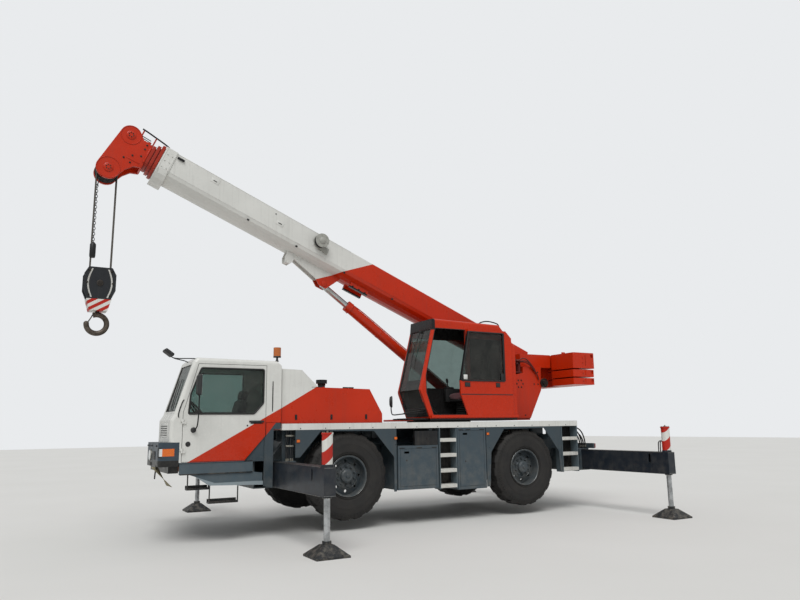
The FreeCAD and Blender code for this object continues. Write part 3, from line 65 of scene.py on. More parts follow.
# The studio: a pale concrete-coloured floor that runs on behind, an even sky and one broad soft
# lamp high at the front left. The camera stands low at the crane's left, a little behind the cab,
# and looks up along the boom, as the photographer did.
FLOOR_HALF = 60.0
SKY_STRENGTH = 0.62
SUN_STRENGTH = 1.75
SUN_SPREAD_DEG = 35.0
CAMERA_AT = Vector((7.264, 11.3745, 1.6154))
CAMERA_YAW = 0.5148
CAMERA_PITCH = 0.1834
CAMERA_ROLL = -0.0135
LENS_MM = 30.61


def linear(code):
    """An sRGB hex colour as the linear RGBA that the shaders take."""
    out = []
    for i in (1, 3, 5):
        c = int(code[i:i + 2], 16) / 255
        out.append(c / 12.92 if c <= 0.04045 else ((c + 0.055) / 1.055) ** 2.4)
    return (*out, 1.0)


def put(tree, kind, plugs=None, **settings):
    """Adds a node: settings are its properties, plugs its inputs, each a value or a socket to link."""
    made = tree.nodes.new("ShaderNode" + kind)
    for name, value in settings.items():
        setattr(made, name, value)
    for key, value in (plugs or {}).items():
        if isinstance(value, bpy.types.NodeSocket):
            tree.links.new(value, made.inputs[key])
        else:
            made.inputs[key].default_value = value
    return made


def bare_material(name):
    """A new material with an empty tree and its output."""
    made = bpy.data.materials.new(name)
    made.use_nodes = True
    made.node_tree.nodes.clear()
    return made, made.node_tree, put(made.node_tree, "OutputMaterial")


floor_mesh = bpy.data.meshes.new("studio_floor")
reach = FLOOR_HALF
floor_mesh.from_pydata([(-reach, -reach, 0), (reach, -reach, 0), (reach, reach, 0), (-reach, reach, 0)], [], [(0, 1, 2, 3)])
studio_floor = bpy.data.objects.new("studio_floor", floor_mesh)
bpy.context.scene.collection.objects.link(studio_floor)

floor_paint, tree, out = bare_material("pale_floor")
place = put(tree, "TexCoord").outputs["Object"]
cloud = put(tree, "TexNoise", {"Vector": place, "Scale": 0.35, "Detail": 3.0}).outputs["Fac"]
grain = put(tree, "TexNoise", {"Vector": place, "Scale": 40.0, "Detail": 2.0}).outputs["Fac"]
tone = put(tree, "Mix", {"Factor": cloud, "A": linear("#D3D2CE"), "B": linear("#DBDAD7")}, data_type="RGBA")
finish = put(tree, "BsdfPrincipled", {"Base Color": tone.outputs["Result"], "Roughness": 0.85})
dent = put(tree, "Bump", {"Height": grain, "Strength": 0.05, "Distance": 0.002})
tree.links.new(dent.outputs["Normal"], finish.inputs["Normal"])
tree.links.new(finish.outputs["BSDF"], out.inputs["Surface"])
floor_mesh.materials.append(floor_paint)

sky = bpy.data.worlds.new("studio_sky")
bpy.context.scene.world = sky
sky.use_nodes = True
tree = sky.node_tree
tree.nodes.clear()
rays = put(tree, "LightPath")
seen = put(tree, "Math", {0: rays.outputs["Is Camera Ray"], 1: rays.outputs["Is Transmission Ray"]}, operation="MAXIMUM")
up = put(tree, "SeparateXYZ", {"Vector": put(tree, "TexCoord").outputs["Generated"]}).outputs["Z"]
rise = put(tree, "MapRange", {"Value": up, "From Min": -0.1, "From Max": 0.6}).outputs["Result"]
mirrored = put(tree, "Mix", {"Factor": rise, "A": linear("#BFC0BF"), "B": linear("#F4F6F8")}, data_type="RGBA")
backdrop = put(tree, "Mix", {"Factor": seen.outputs[0], "A": mirrored.outputs["Result"], "B": linear("#E9EBED")},
               data_type="RGBA")
lit = put(tree, "Mix", {"Factor": seen.outputs[0], "A": SKY_STRENGTH, "B": 1.0})
even = put(tree, "Background", {"Color": backdrop.outputs["Result"], "Strength": lit.outputs["Result"]})
world_out = put(tree, "OutputWorld", {"Surface": even.outputs["Background"]})

sun_data = bpy.data.lights.new("studio_sun", "SUN")
sun_data.energy = SUN_STRENGTH
sun_data.angle = math.radians(SUN_SPREAD_DEG)
studio_sun = bpy.data.objects.new("studio_sun", sun_data)
studio_sun.rotation_euler = Vector((0.42, 0.62, 1.0)).to_track_quat("Z", "Y").to_euler()
bpy.context.scene.collection.objects.link(studio_sun)

camera_data = bpy.data.cameras.new("camera")
camera_data.lens = LENS_MM
camera_data.clip_end = 400.0
camera = bpy.data.objects.new("camera", camera_data)
level = Vector((-math.sin(CAMERA_YAW), -math.cos(CAMERA_YAW), 0))
side = Vector((-math.cos(CAMERA_YAW), math.sin(CAMERA_YAW), 0))
rise = Vector((0, 0, 1))
ahead = level * math.cos(CAMERA_PITCH) + rise * math.sin(CAMERA_PITCH)
tilted = rise * math.cos(CAMERA_PITCH) - level * math.sin(CAMERA_PITCH)
right = side * math.cos(CAMERA_ROLL) + tilted * math.sin(CAMERA_ROLL)
upward = tilted * math.cos(CAMERA_ROLL) - side * math.sin(CAMERA_ROLL)
camera.matrix_world = Matrix.Translation(CAMERA_AT) @ Matrix((right, upward, -ahead)).transposed().to_4x4()
bpy.context.scene.collection.objects.link(camera)
bpy.context.scene.camera = camera
bpy.context.scene.view_settings.view_transform = "Standard"


# Carrier frame: welded box rails, cross members, outrigger housings and the slew pedestal, in
# grey-blue two-pack enamel sprayed over blasted plate. Enamel is even and half glossy; road dust
# lies on what faces up, rain leaves streaks on the sides, and edges are rubbed to the primer.
CHASSIS_BLUE = "#3B474E"
ROAD_DUST = "#8B8478"
PRIMER_DARK = "#3A332D"
EDGE_WEAR_M = 0.006
ORANGE_PEEL_PER_M = 260.0  # real orange peel is about 4 mm across
STREAKS_PER_M = 22.0


def painted_areas(tree, place, ground, areas):
    """The ground colour with areas over it. An area is (hex, [((a, b, c), limit), ...]): it covers
    the points whose a*x + b*y + c*z lies under every limit, in the row frame's metres."""
    colour = put(tree, "RGB").outputs[0]
    colour.default_value = linear(ground)
    for code, planes in areas:
        cover = None
        for normal, limit in planes:
            height = put(tree, "VectorMath", {0: place, 1: normal}, operation="DOT_PRODUCT").outputs["Value"]
            under = put(tree, "Math", {0: height, 1: limit}, operation="LESS_THAN").outputs[0]
            cover = under if cover is None else put(tree, "Math", {0: cover, 1: under}, operation="MULTIPLY").outputs[0]
        colour = put(tree, "Mix", {"Factor": cover, "A": colour, "B": linear(code)}, data_type="RGBA").outputs["Result"]
    return colour


def enamel(name, ground, areas=(), gloss=0.34, dust=0.5, chips=0.5, low_dirt=1.0):
    """Sprayed enamel on steel. dust, chips and low_dirt run from 0, none, to 1, a hard-worked machine."""
    made, tree, out = bare_material(name)
    place = put(tree, "TexCoord").outputs["Object"]
    geometry = put(tree, "NewGeometry")
    facing = put(tree, "SeparateXYZ", {"Vector": geometry.outputs["Normal"]}).outputs["Z"]
    height = put(tree, "SeparateXYZ", {"Vector": place}).outputs["Z"]
    colour = painted_areas(tree, place, ground, areas)

    cloud = put(tree, "TexNoise", {"Vector": place, "Scale": 1.6, "Detail": 5.0, "Roughness": 0.6}).outputs["Fac"]
    shade = put(tree, "MapRange", {"Value": cloud, "From Min": 0.3, "From Max": 0.7, "To Min": 0.93, "To Max": 1.05})
    colour = put(tree, "VectorMath", {0: colour, "Scale": shade.outputs["Result"]}, operation="SCALE").outputs["Vector"]

    tall = put(tree, "Mapping", {"Vector": place, "Scale": (STREAKS_PER_M, STREAKS_PER_M, 1.1)}).outputs["Vector"]
    runs = put(tree, "TexNoise", {"Vector": tall, "Scale": 1.0, "Detail": 4.0}).outputs["Fac"]
    runs = put(tree, "MapRange", {"Value": runs, "From Min": 0.52, "From Max": 0.78, "To Max": 0.40 * dust}).outputs[0]
    upright = put(tree, "Math", {0: facing}, operation="ABSOLUTE").outputs[0]
    upright = put(tree, "Math", {0: 1.0, 1: upright}, operation="SUBTRACT", use_clamp=True).outputs[0]
    runs = put(tree, "Math", {0: runs, 1: upright}, operation="MULTIPLY").outputs[0]
    colour = put(tree, "Mix", {"Factor": runs, "A": colour, "B": linear("#4D473F")}, data_type="RGBA").outputs["Result"]

    patches = put(tree, "TexNoise", {"Vector": place, "Scale": 7.0, "Detail": 7.0, "Roughness": 0.68}).outputs["Fac"]
    lying = put(tree, "MapRange", {"Value": facing, "From Min": 0.45, "From Max": 0.95, "To Max": 0.6 * dust}).outputs[0]
    lying = put(tree, "Math", {0: lying, 1: patches}, operation="MULTIPLY").outputs[0]
    low = put(tree, "MapRange", {"Value": height, "From Min": 1.5, "From Max": 0.45, "To Max": 0.6 * low_dirt}).outputs[0]
    spatter = put(tree, "MapRange", {"Value": patches, "From Min": 0.42, "From Max": 0.72}).outputs[0]
    low = put(tree, "Math", {0: low, 1: spatter}, operation="MULTIPLY").outputs[0]
    dirt = put(tree, "Math", {0: lying, 1: low}, operation="MAXIMUM", use_clamp=True).outputs[0]
    colour = put(tree, "Mix", {"Factor": dirt, "A": colour, "B": linear(ROAD_DUST)}, data_type="RGBA").outputs["Result"]

    soft = put(tree, "Bevel", {"Radius": EDGE_WEAR_M}, samples=4).outputs["Normal"]
    turned_off = put(tree, "VectorMath", {0: soft, 1: geometry.outputs["Normal"]}, operation="DOT_PRODUCT").outputs["Value"]
    edge = put(tree, "MapRange", {"Value": turned_off, "From Min": 0.985, "From Max": 0.80}).outputs[0]
    flakes = put(tree, "TexNoise", {"Vector": place, "Scale": 34.0, "Detail": 6.0, "Roughness": 0.7}).outputs["Fac"]
    flakes = put(tree, "MapRange", {"Value": flakes, "From Min": 0.66 - 0.16 * chips, "From Max": 0.70 - 0.10 * chips}).outputs[0]
    bare = put(tree, "Math", {0: edge, 1: flakes}, operation="MULTIPLY", use_clamp=True).outputs[0]
    colour = put(tree, "Mix", {"Factor": bare, "A": colour, "B": linear(PRIMER_DARK)}, data_type="RGBA").outputs["Result"]

    matt = put(tree, "Math", {0: dirt, 1: bare}, operation="MAXIMUM").outputs[0]
    rough = put(tree, "MapRange", {"Value": matt, "To Min": gloss, "To Max": 0.82}).outputs[0]
    smear = put(tree, "MapRange", {"Value": patches, "From Min": 0.35, "From Max": 0.75, "To Min": -0.05, "To Max": 0.13})
    rough = put(tree, "Math", {0: rough, 1: smear.outputs[0]}, operation="ADD", use_clamp=True).outputs[0]
    peel = put(tree, "TexNoise", {"Vector": place, "Scale": ORANGE_PEEL_PER_M, "Detail": 1.0}).outputs["Fac"]
    skin = put(tree, "Bump", {"Height": peel, "Strength": 0.10, "Distance": 0.0006, "Normal": soft}).outputs["Normal"]
    skin = put(tree, "Bump", {"Height": bare, "Strength": 0.35, "Distance": 0.0008, "Normal": skin}, invert=True)
    finish = put(tree, "BsdfPrincipled", {"Base Color": colour, "Roughness": rough, "Normal": skin.outputs["Normal"]})
    finish.inputs["Specular IOR Level"].default_value = 0.35
    finish.inputs["Coat Weight"].default_value = 0.10
    finish.inputs["Coat Roughness"].default_value = 0.15
    tree.links.new(finish.outputs["BSDF"], out.inputs["Surface"])
    return made


def finish_nodes(material, *names):
    """Gives CAD nodes one material in every slot."""
    for name in names:
        node = frame["nodes"][name]
        if not node.material_slots:
            node.data.materials.append(material)
        for slot in node.material_slots:
            slot.material = material


def moulded_rubber(name, dark, bloom, dusty, rough=0.78):
    """Black rubber or hard plastic out of a mould, with dust in its low places."""
    made, tree, out = bare_material(name)
    place = put(tree, "TexCoord").outputs["Object"]
    cloud = put(tree, "TexNoise", {"Vector": place, "Scale": 5.0, "Detail": 6.0, "Roughness": 0.65}).outputs["Fac"]
    fine = put(tree, "TexNoise", {"Vector": place, "Scale": 55.0, "Detail": 5.0}).outputs["Fac"]
    ageing = put(tree, "MapRange", {"Value": cloud, "From Min": 0.35, "From Max": 0.7}).outputs[0]
    colour = put(tree, "Mix", {"Factor": ageing, "A": linear(dark), "B": linear(bloom)}, data_type="RGBA").outputs["Result"]
    facing = put(tree, "SeparateXYZ", {"Vector": put(tree, "NewGeometry").outputs["Normal"]}).outputs["Z"]
    lying = put(tree, "MapRange", {"Value": facing, "From Min": 0.0, "From Max": 1.0, "To Min": 0.12, "To Max": 0.5}).outputs[0]
    lying = put(tree, "Math", {0: lying, 1: fine}, operation="MULTIPLY").outputs[0]
    colour = put(tree, "Mix", {"Factor": lying, "A": colour, "B": linear(dusty)}, data_type="RGBA").outputs["Result"]
    grain = put(tree, "TexNoise", {"Vector": place, "Scale": 400.0, "Detail": 2.0}).outputs["Fac"]
    soft = put(tree, "Bevel", {"Radius": 0.003}, samples=4).outputs["Normal"]
    skin = put(tree, "Bump", {"Height": grain, "Strength": 0.25, "Distance": 0.0008, "Normal": soft}).outputs["Normal"]
    worn = put(tree, "MapRange", {"Value": fine, "To Min": rough - 0.1, "To Max": rough + 0.1}).outputs[0]
    finish = put(tree, "BsdfPrincipled", {"Base Color": colour, "Roughness": worn, "Normal": skin})
    tree.links.new(finish.outputs["BSDF"], out.inputs["Surface"])
    return made


def bare_metal(name, bright, dull, rough, scale=9.0, metallic=1.0, paint_below=None):
    """Bare or plated metal with a film of oil or tarnish. paint_below gives a height under which
    the same piece is in black paint."""
    made, tree, out = bare_material(name)
    place = put(tree, "TexCoord").outputs["Object"]
    film = put(tree, "TexNoise", {"Vector": place, "Scale": scale, "Detail": 5.0, "Roughness": 0.6}).outputs["Fac"]
    film = put(tree, "MapRange", {"Value": film, "From Min": 0.35, "From Max": 0.7}).outputs[0]
    tone = put(tree, "Mix", {"Factor": film, "A": linear(bright), "B": linear(dull)}, data_type="RGBA").outputs["Result"]
    spread = put(tree, "MapRange", {"Value": film, "To Min": rough, "To Max": rough + 0.2}).outputs[0]
    soft = put(tree, "Bevel", {"Radius": 0.002}, samples=4).outputs["Normal"]
    metal = put(tree, "BsdfPrincipled", {"Base Color": tone, "Metallic": metallic, "Roughness": spread, "Normal": soft})
    surface = metal.outputs["BSDF"]
    if paint_below is not None:
        height = put(tree, "SeparateXYZ", {"Vector": place}).outputs["Z"]
        under = put(tree, "Math", {0: height, 1: paint_below}, operation="LESS_THAN").outputs[0]
        mud = put(tree, "TexNoise", {"Vector": place, "Scale": 14.0, "Detail": 6.0, "Roughness": 0.7}).outputs["Fac"]
        mud = put(tree, "MapRange", {"Value": mud, "From Min": 0.45, "From Max": 0.7, "To Max": 0.55}).outputs[0]
        coat = put(tree, "Mix", {"Factor": mud, "A": linear("#1D1F21"), "B": linear(ROAD_DUST)}, data_type="RGBA")
        paint = put(tree, "BsdfPrincipled", {"Base Color": coat.outputs["Result"], "Roughness": 0.62, "Normal": soft})
        surface = put(tree, "MixShader", {0: under, 1: surface, 2: paint.outputs["BSDF"]}).outputs["Shader"]
    tree.links.new(surface, out.inputs["Surface"])
    return made


def piece(name, body, material, bm):
    """A bmesh as an object that rides on a body. Edges sharper than 35 degrees stay sharp."""
    bmesh.ops.recalc_face_normals(bm, faces=bm.faces[:])
    for edge in bm.edges:
        edge.smooth = not (len(edge.link_faces) == 2 and edge.calc_face_angle(0) > 0.61)
    for face in bm.faces:
        face.smooth = True
    mesh = bpy.data.meshes.new(name)
    bm.to_mesh(mesh)
    bm.free()
    mesh.materials.append(material)
    made = bpy.data.objects.new(name, mesh)
    bpy.context.scene.collection.objects.link(made)
    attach(made, body)
    return made


def block(bm, low, high, edge=0.003, lean=None):
    """A block between two corners with broken edges. lean is (axis, radians) about its middle."""
    verts = bmesh.ops.create_cube(bm, size=1)["verts"]
    middle = (Vector(low) + Vector(high)) / 2
    for vert in verts:
        vert.co = Vector([middle[i] + vert.co[i] * (high[i] - low[i]) for i in range(3)])
    if lean:
        bmesh.ops.rotate(bm, verts=verts, cent=middle, matrix=Matrix.Rotation(lean[1], 3, lean[0]))
    if edge:
        edges = list({e for vert in verts for e in vert.link_edges})
        bmesh.ops.bevel(bm, geom=edges, offset=edge, segments=2, profile=0.5, affect="EDGES")


def lathe(bm, profile, start, along, sides=24):
    """A profile of (distance, radius) pairs turned about the line that leaves start in direction
    along. A profile that ends where it began is a ring, and any other is closed with end discs."""
    start, along = Vector(start), Vector(along).normalized()
    across = along.orthogonal().normalized()
    other = along.cross(across)
    rings = []
    for distance, radius in profile:
        rings.append([bm.verts.new(start + along * distance + (across * math.cos(2 * math.pi * i / sides) +
                                   other * math.sin(2 * math.pi * i / sides)) * radius) for i in range(sides)])
    for low, high in zip(rings, rings[1:]):
        for i in range(sides):
            bm.faces.new((low[i - 1], low[i], high[i], high[i - 1]))
    if profile[0] == profile[-1]:
        bmesh.ops.remove_doubles(bm, verts=rings[0] + rings[-1], dist=1e-6)
        return
    for end in (rings[0], rings[-1]):
        bm.faces.new(end)


def bolt(bm, at, out, size):
    """A hexagon bolt head on its washer: size is the width over the corners."""
    r = size / 2
    lathe(bm, [(-0.002, r * 1.5), (0.12 * size, r * 1.5), (0.13 * size, r * 1.4)], at, out, 14)
    lathe(bm, [(0.10 * size, r), (0.62 * size, r), (0.7 * size, r * 0.86)], at, out, 6)


def pipe(name, body, material, runs, radius, closed=False):
    """Bent bars and hoses: each run is a list of control points of one smooth line."""
    line = bpy.data.curves.new(name, "CURVE")
    line.dimensions = "3D"
    line.bevel_depth = radius
    line.bevel_resolution = 2
    line.resolution_u = 6
    line.use_fill_caps = True
    for run in runs:
        spline = line.splines.new("NURBS")
        spline.points.add(len(run) - 1)
        for point, at in zip(spline.points, run):
            point.co = (*at, 1)
        spline.order_u = 3
        spline.use_endpoint_u = not closed
        spline.use_cyclic_u = closed
    line.materials.append(material)
    made = bpy.data.objects.new(name, line)
    bpy.context.scene.collection.objects.link(made)
    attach(made, body)
    return made


def cornered(loop, reach):
    """A closed outline with two more points beside each corner, so that a smooth line rounds it."""
    out = []
    for i, corner in enumerate(loop):
        corner = Vector(corner)
        before = Vector(loop[i - 1])
        after = Vector(loop[(i + 1) % len(loop)])
        out += [corner + (before - corner).normalized() * reach, corner, corner + (after - corner).normalized() * reach]
    return out


frame_enamel = enamel("grey_blue_chassis_enamel", CHASSIS_BLUE, gloss=0.42, dust=0.5, chips=0.5, low_dirt=0.7)
black_plastic = moulded_rubber("black_moulded_plastic", "#1B1C1D", "#26272A", "#55524C", rough=0.6)
hose_rubber = moulded_rubber("black_hose_rubber", "#18191A", "#232325", "#6A645B", rough=0.66)
zinc_steel = bare_metal("zinc_plated_steel", "#A9A79E", "#7C776C", 0.38, scale=30.0)
dark_steel = bare_metal("dark_greased_steel", "#4C4844", "#2E2A27", 0.42, scale=22.0, metallic=0.8)
worn_and_highlight_steel = bare_metal("rubbed_and_highlight_steel", "#8E908F", "#5A5A58", 0.36, scale=26.0)
pipe_steel = enamel("painted_pipe_steel", "#1E2124", gloss=0.45, dust=0.6, chips=0.5)
finish_nodes(frame_enamel, "chassis_frame")

# Hydraulic lines from the frame's end to the rear outriggers, and others up the recess behind the cab
REAR_HOSES = [(0.80, 0.00), (0.85, 0.03), (0.90, -0.02), (0.95, 0.05)]
for i, (y, shift) in enumerate(REAR_HOSES):
    route = [(-2.42, y, 1.50 + shift * 0.5), (-2.52, y, 1.51 + shift * 0.5), (-2.66, y + 0.01, 1.50 + shift), (-2.78, y + 0.02, 1.43 + shift),
             (-2.86, y + 0.01, 1.32 + shift * 0.5), (-2.89, y, 1.24), (-2.90, y, 1.165)]
    hose = pipe("rear_hose_" + str(i), "chassis", hose_rubber, [route], 0.013)
    run = sum((Vector(b) - Vector(a)).length for a, b in zip(route, route[1:]))
bm = bmesh.new()
for y, shift in REAR_HOSES:
    lathe(bm, [(0, 0.017), (0.03, 0.017), (0.032, 0.014), (0.05, 0.014)], (-2.425, y, 1.50 + shift * 0.5), (-1, 0, 0), 12)
    lathe(bm, [(0, 0.018), (0.035, 0.018), (0.037, 0.0145), (0.06, 0.0145)], (-2.90, y, 1.153), (0, 0, 1), 12)
block(bm, (-2.425, 0.74, 1.45), (-2.407, 1.02, 1.56), 0.004)
piece("rear_hose_fittings", "chassis", zinc_steel, bm)

RECESS_LINES = [(3.44, 1.17), (3.475, 1.19), (3.51, 1.17), (3.545, 1.19)]
pipe("recess_steel_pipes", "chassis", pipe_steel,
     [[(x, y, 1.10), (x, y, 1.22), (x + 0.008 * (i - 1), y - 0.012, 1.36), (x, y, 1.47), (x, y, 1.58)]
      for i, (x, y) in enumerate(RECESS_LINES)], 0.012)
bm = bmesh.new()
block(bm, (3.425, 1.150, 1.325), (3.560, 1.210, 1.350), 0.003)
block(bm, (3.425, 1.150, 1.480), (3.560, 1.210, 1.505), 0.003)
for x, y in RECESS_LINES:
    lathe(bm, [(0, 0.017), (0.03, 0.017), (0.032, 0.014), (0.05, 0.014)], (x, y, 1.10), (0, 0, 1), 12)
piece("recess_clamps", "chassis", zinc_steel, bm)
bm = bmesh.new()
block(bm, (3.40, 1.10, 1.09), (3.58, 1.235, 1.11), 0.004)
block(bm, (3.40, 1.06, 1.09), (3.58, 1.09, 1.577), 0.004)
piece("recess_plate", "chassis", frame_enamel, bm)

# Closing webs between the rails and the deck, which keep dirt off what lies inside
bm = bmesh.new()
for y in (-0.365, 0.365):
    for x0, x1 in ((-2.30, -0.72), (0.72, 1.84), (1.86, 3.42)):
        block(bm, (x0, y - 0.006, 1.392), (x1, y + 0.006, 1.575), 0.002)
        for k in range(1, int((x1 - x0) / 0.38) + 1):
            block(bm, (x0 + 0.38 * k - 0.03, y - 0.012, 1.42), (x0 + 0.38 * k - 0.022, y + 0.012, 1.56), 0.002)
piece("rail_closing_webs", "chassis", frame_enamel, bm)

# Tow coupling: a forged jaw's pin with its handle and chain link, and air and light sockets beside it
bm = bmesh.new()
lathe(bm, [(0, 0.0245), (0.005, 0.0245), (0.02, 0.0245), (0.022, 0.034), (0.04, 0.034), (0.045, 0.02), (0.09, 0.018)],
      (-3.010, 0, 1.328), (0, 0, 1), 20)
for y in (-0.36, -0.24, 0.24, 0.36):
    lathe(bm, [(0, 0.038), (0.012, 0.038), (0.016, 0.03), (0.05, 0.03), (0.054, 0.034), (0.062, 0.034)], (-2.95, y, 1.185), (-1, 0, 0), 18)
piece("coupling_fittings", "chassis", dark_steel, bm)


# Axles, knuckles and track rods: cast and forged steel in dark chassis paint, thick with road
# dirt and old grease, so they are matt and uneven.
CAST_DARK = "#2A2D2E"
axle_paint = enamel("dark_cast_axle_paint", CAST_DARK, gloss=0.55, dust=0.8, chips=0.3)
finish_nodes(axle_paint, "axles", "tie_rod_front", "tie_rod_rear")
finish_nodes(axle_paint, *["knuckle_" + end + "_" + side for end in ("front", "rear") for side in ("left", "right")])
bm = bmesh.new()
for axle_x in (2.5, -1.1):
    for y in (-0.150, 0.150):
        lathe(bm, [(0, 0.150), (0.006, 0.150), (0.014, 0.144)], (axle_x, y, 0.842), (0, 1 if y > 0 else -1, 0), 32)
        for i in range(10):
            a = 2 * math.pi * i / 10
            bolt(bm, (axle_x + 0.128 * math.cos(a), y * 1.07, 0.842 + 0.128 * math.sin(a)), (0, 1 if y > 0 else -1, 0), 0.024)
piece("axle_cover_bolts", "chassis", axle_paint, bm)


# Wheels: pressed steel discs in slate enamel under cross-country tyres. Tyre rubber is moulded,
# nearly black and matt, greyed by dust; the sidewalls carry rings and short ribs from the mould.
RIM_SLATE = "#3D454A"
AXLE_Z = 0.842
TYRE_Y = 1.040
WHEELS = [("front_left", 2.5, 1, "wheel_fl"), ("front_right", 2.5, -1, "wheel_fr"),
          ("rear_left", -1.1, 1, "wheel_rl"), ("rear_right", -1.1, -1, "wheel_rr")]
SIDEWALL_RINGS = [(0.352, 0.175), (0.372, 0.1775), (0.505, 0.1905), (0.585, 0.184)]
tyre_rubber = moulded_rubber("moulded_tyre_rubber", "#171718", "#262422", "#4F4A43")
rim_enamel = enamel("slate_wheel_enamel", RIM_SLATE, gloss=0.42, dust=0.5, chips=0.7, low_dirt=0.6)
for place_name, x, hand, body in WHEELS:
    finish_nodes(tyre_rubber, "tyre_" + place_name)
    finish_nodes(rim_enamel, "rim_" + place_name)
    out = (0, hand, 0)
    bm = bmesh.new()
    for radius, y in SIDEWALL_RINGS:
        for face in (1, -1):
            loop = [(y - 0.004, radius - 0.006), (y + 0.0035, radius - 0.0025), (y + 0.0035, radius + 0.0025), (y - 0.004, radius + 0.006),
                    (y - 0.004, radius - 0.006)]
            lathe(bm, loop, (x, hand * TYRE_Y, AXLE_Z), (0, hand * face, 0), 72)
    for face in (1, -1):
        for i in range(72):
            a = 2 * math.pi * i / 72
            spoke = Vector((math.cos(a), 0, math.sin(a)))
            side = Vector((-math.sin(a), 0, math.cos(a)))
            base = Vector((x, hand * (TYRE_Y + face * 0.183), AXLE_Z))
            tip = Vector((x, hand * (TYRE_Y + face * 0.176), AXLE_Z))
            push = Vector((0, hand * face * 0.010, 0))
            low = [base + spoke * 0.592 - side * 0.005, base + spoke * 0.592 + side * 0.005,
                   tip + spoke * 0.640 + side * 0.005, tip + spoke * 0.640 - side * 0.005]
            high = [point + push for point in low]
            verts = [bm.verts.new(point) for point in low + high]
            for quad in ((4, 5, 6, 7), (0, 1, 5, 4), (1, 2, 6, 5), (2, 3, 7, 6), (3, 0, 4, 7)):
                bm.faces.new([verts[k] for k in quad])
    piece("sidewall_mould_" + place_name, body, tyre_rubber, bm)

    bm = bmesh.new()
    for i in range(10):
        a = 2 * math.pi * (i + 0.5) / 10
        at = (x + 0.1515 * math.cos(a), hand * (TYRE_Y + 0.066), AXLE_Z + 0.1515 * math.sin(a))
        lathe(bm, [(-0.001, 0.021), (0.006, 0.021), (0.007, 0.019)], at, out, 14)
        lathe(bm, [(0.006, 0.0175), (0.026, 0.0175), (0.030, 0.015)], at, out, 6)
        lathe(bm, [(0.028, 0.009), (0.044, 0.009), (0.046, 0.0075)], at, out, 10)
    for i in range(8):
        a = 2 * math.pi * i / 8
        bolt(bm, (x + 0.094 * math.cos(a), hand * (TYRE_Y + 0.1265), AXLE_Z + 0.094 * math.sin(a)), out, 0.016)
    lathe(bm, [(0.142, 0.034), (0.150, 0.034), (0.156, 0.028), (0.158, 0.012)], (x, hand * TYRE_Y, AXLE_Z), out, 24)
    piece("wheel_nuts_" + place_name, body, rim_enamel, bm)

    bm = bmesh.new()
    for distance, radius, thick in ((0.166, 0.3245, 0.0035), (0.0635, 0.205, 0.003)):
        ring = [(distance - thick, radius), (distance, radius + thick), (distance + thick, radius), (distance, radius - thick), (distance - thick, radius)]
        lathe(bm, ring, (x, hand * TYRE_Y, AXLE_Z), out, 64)
    lathe(bm, [(0, 0.006), (0.05, 0.006), (0.052, 0.009), (0.07, 0.009)], (x + 0.27, hand * (TYRE_Y + 0.045), AXLE_Z + 0.06),
          (-0.25, hand, -0.05), 10)
    piece("wheel_worn_rings_" + place_name, body, worn_and_highlight_steel, bm)


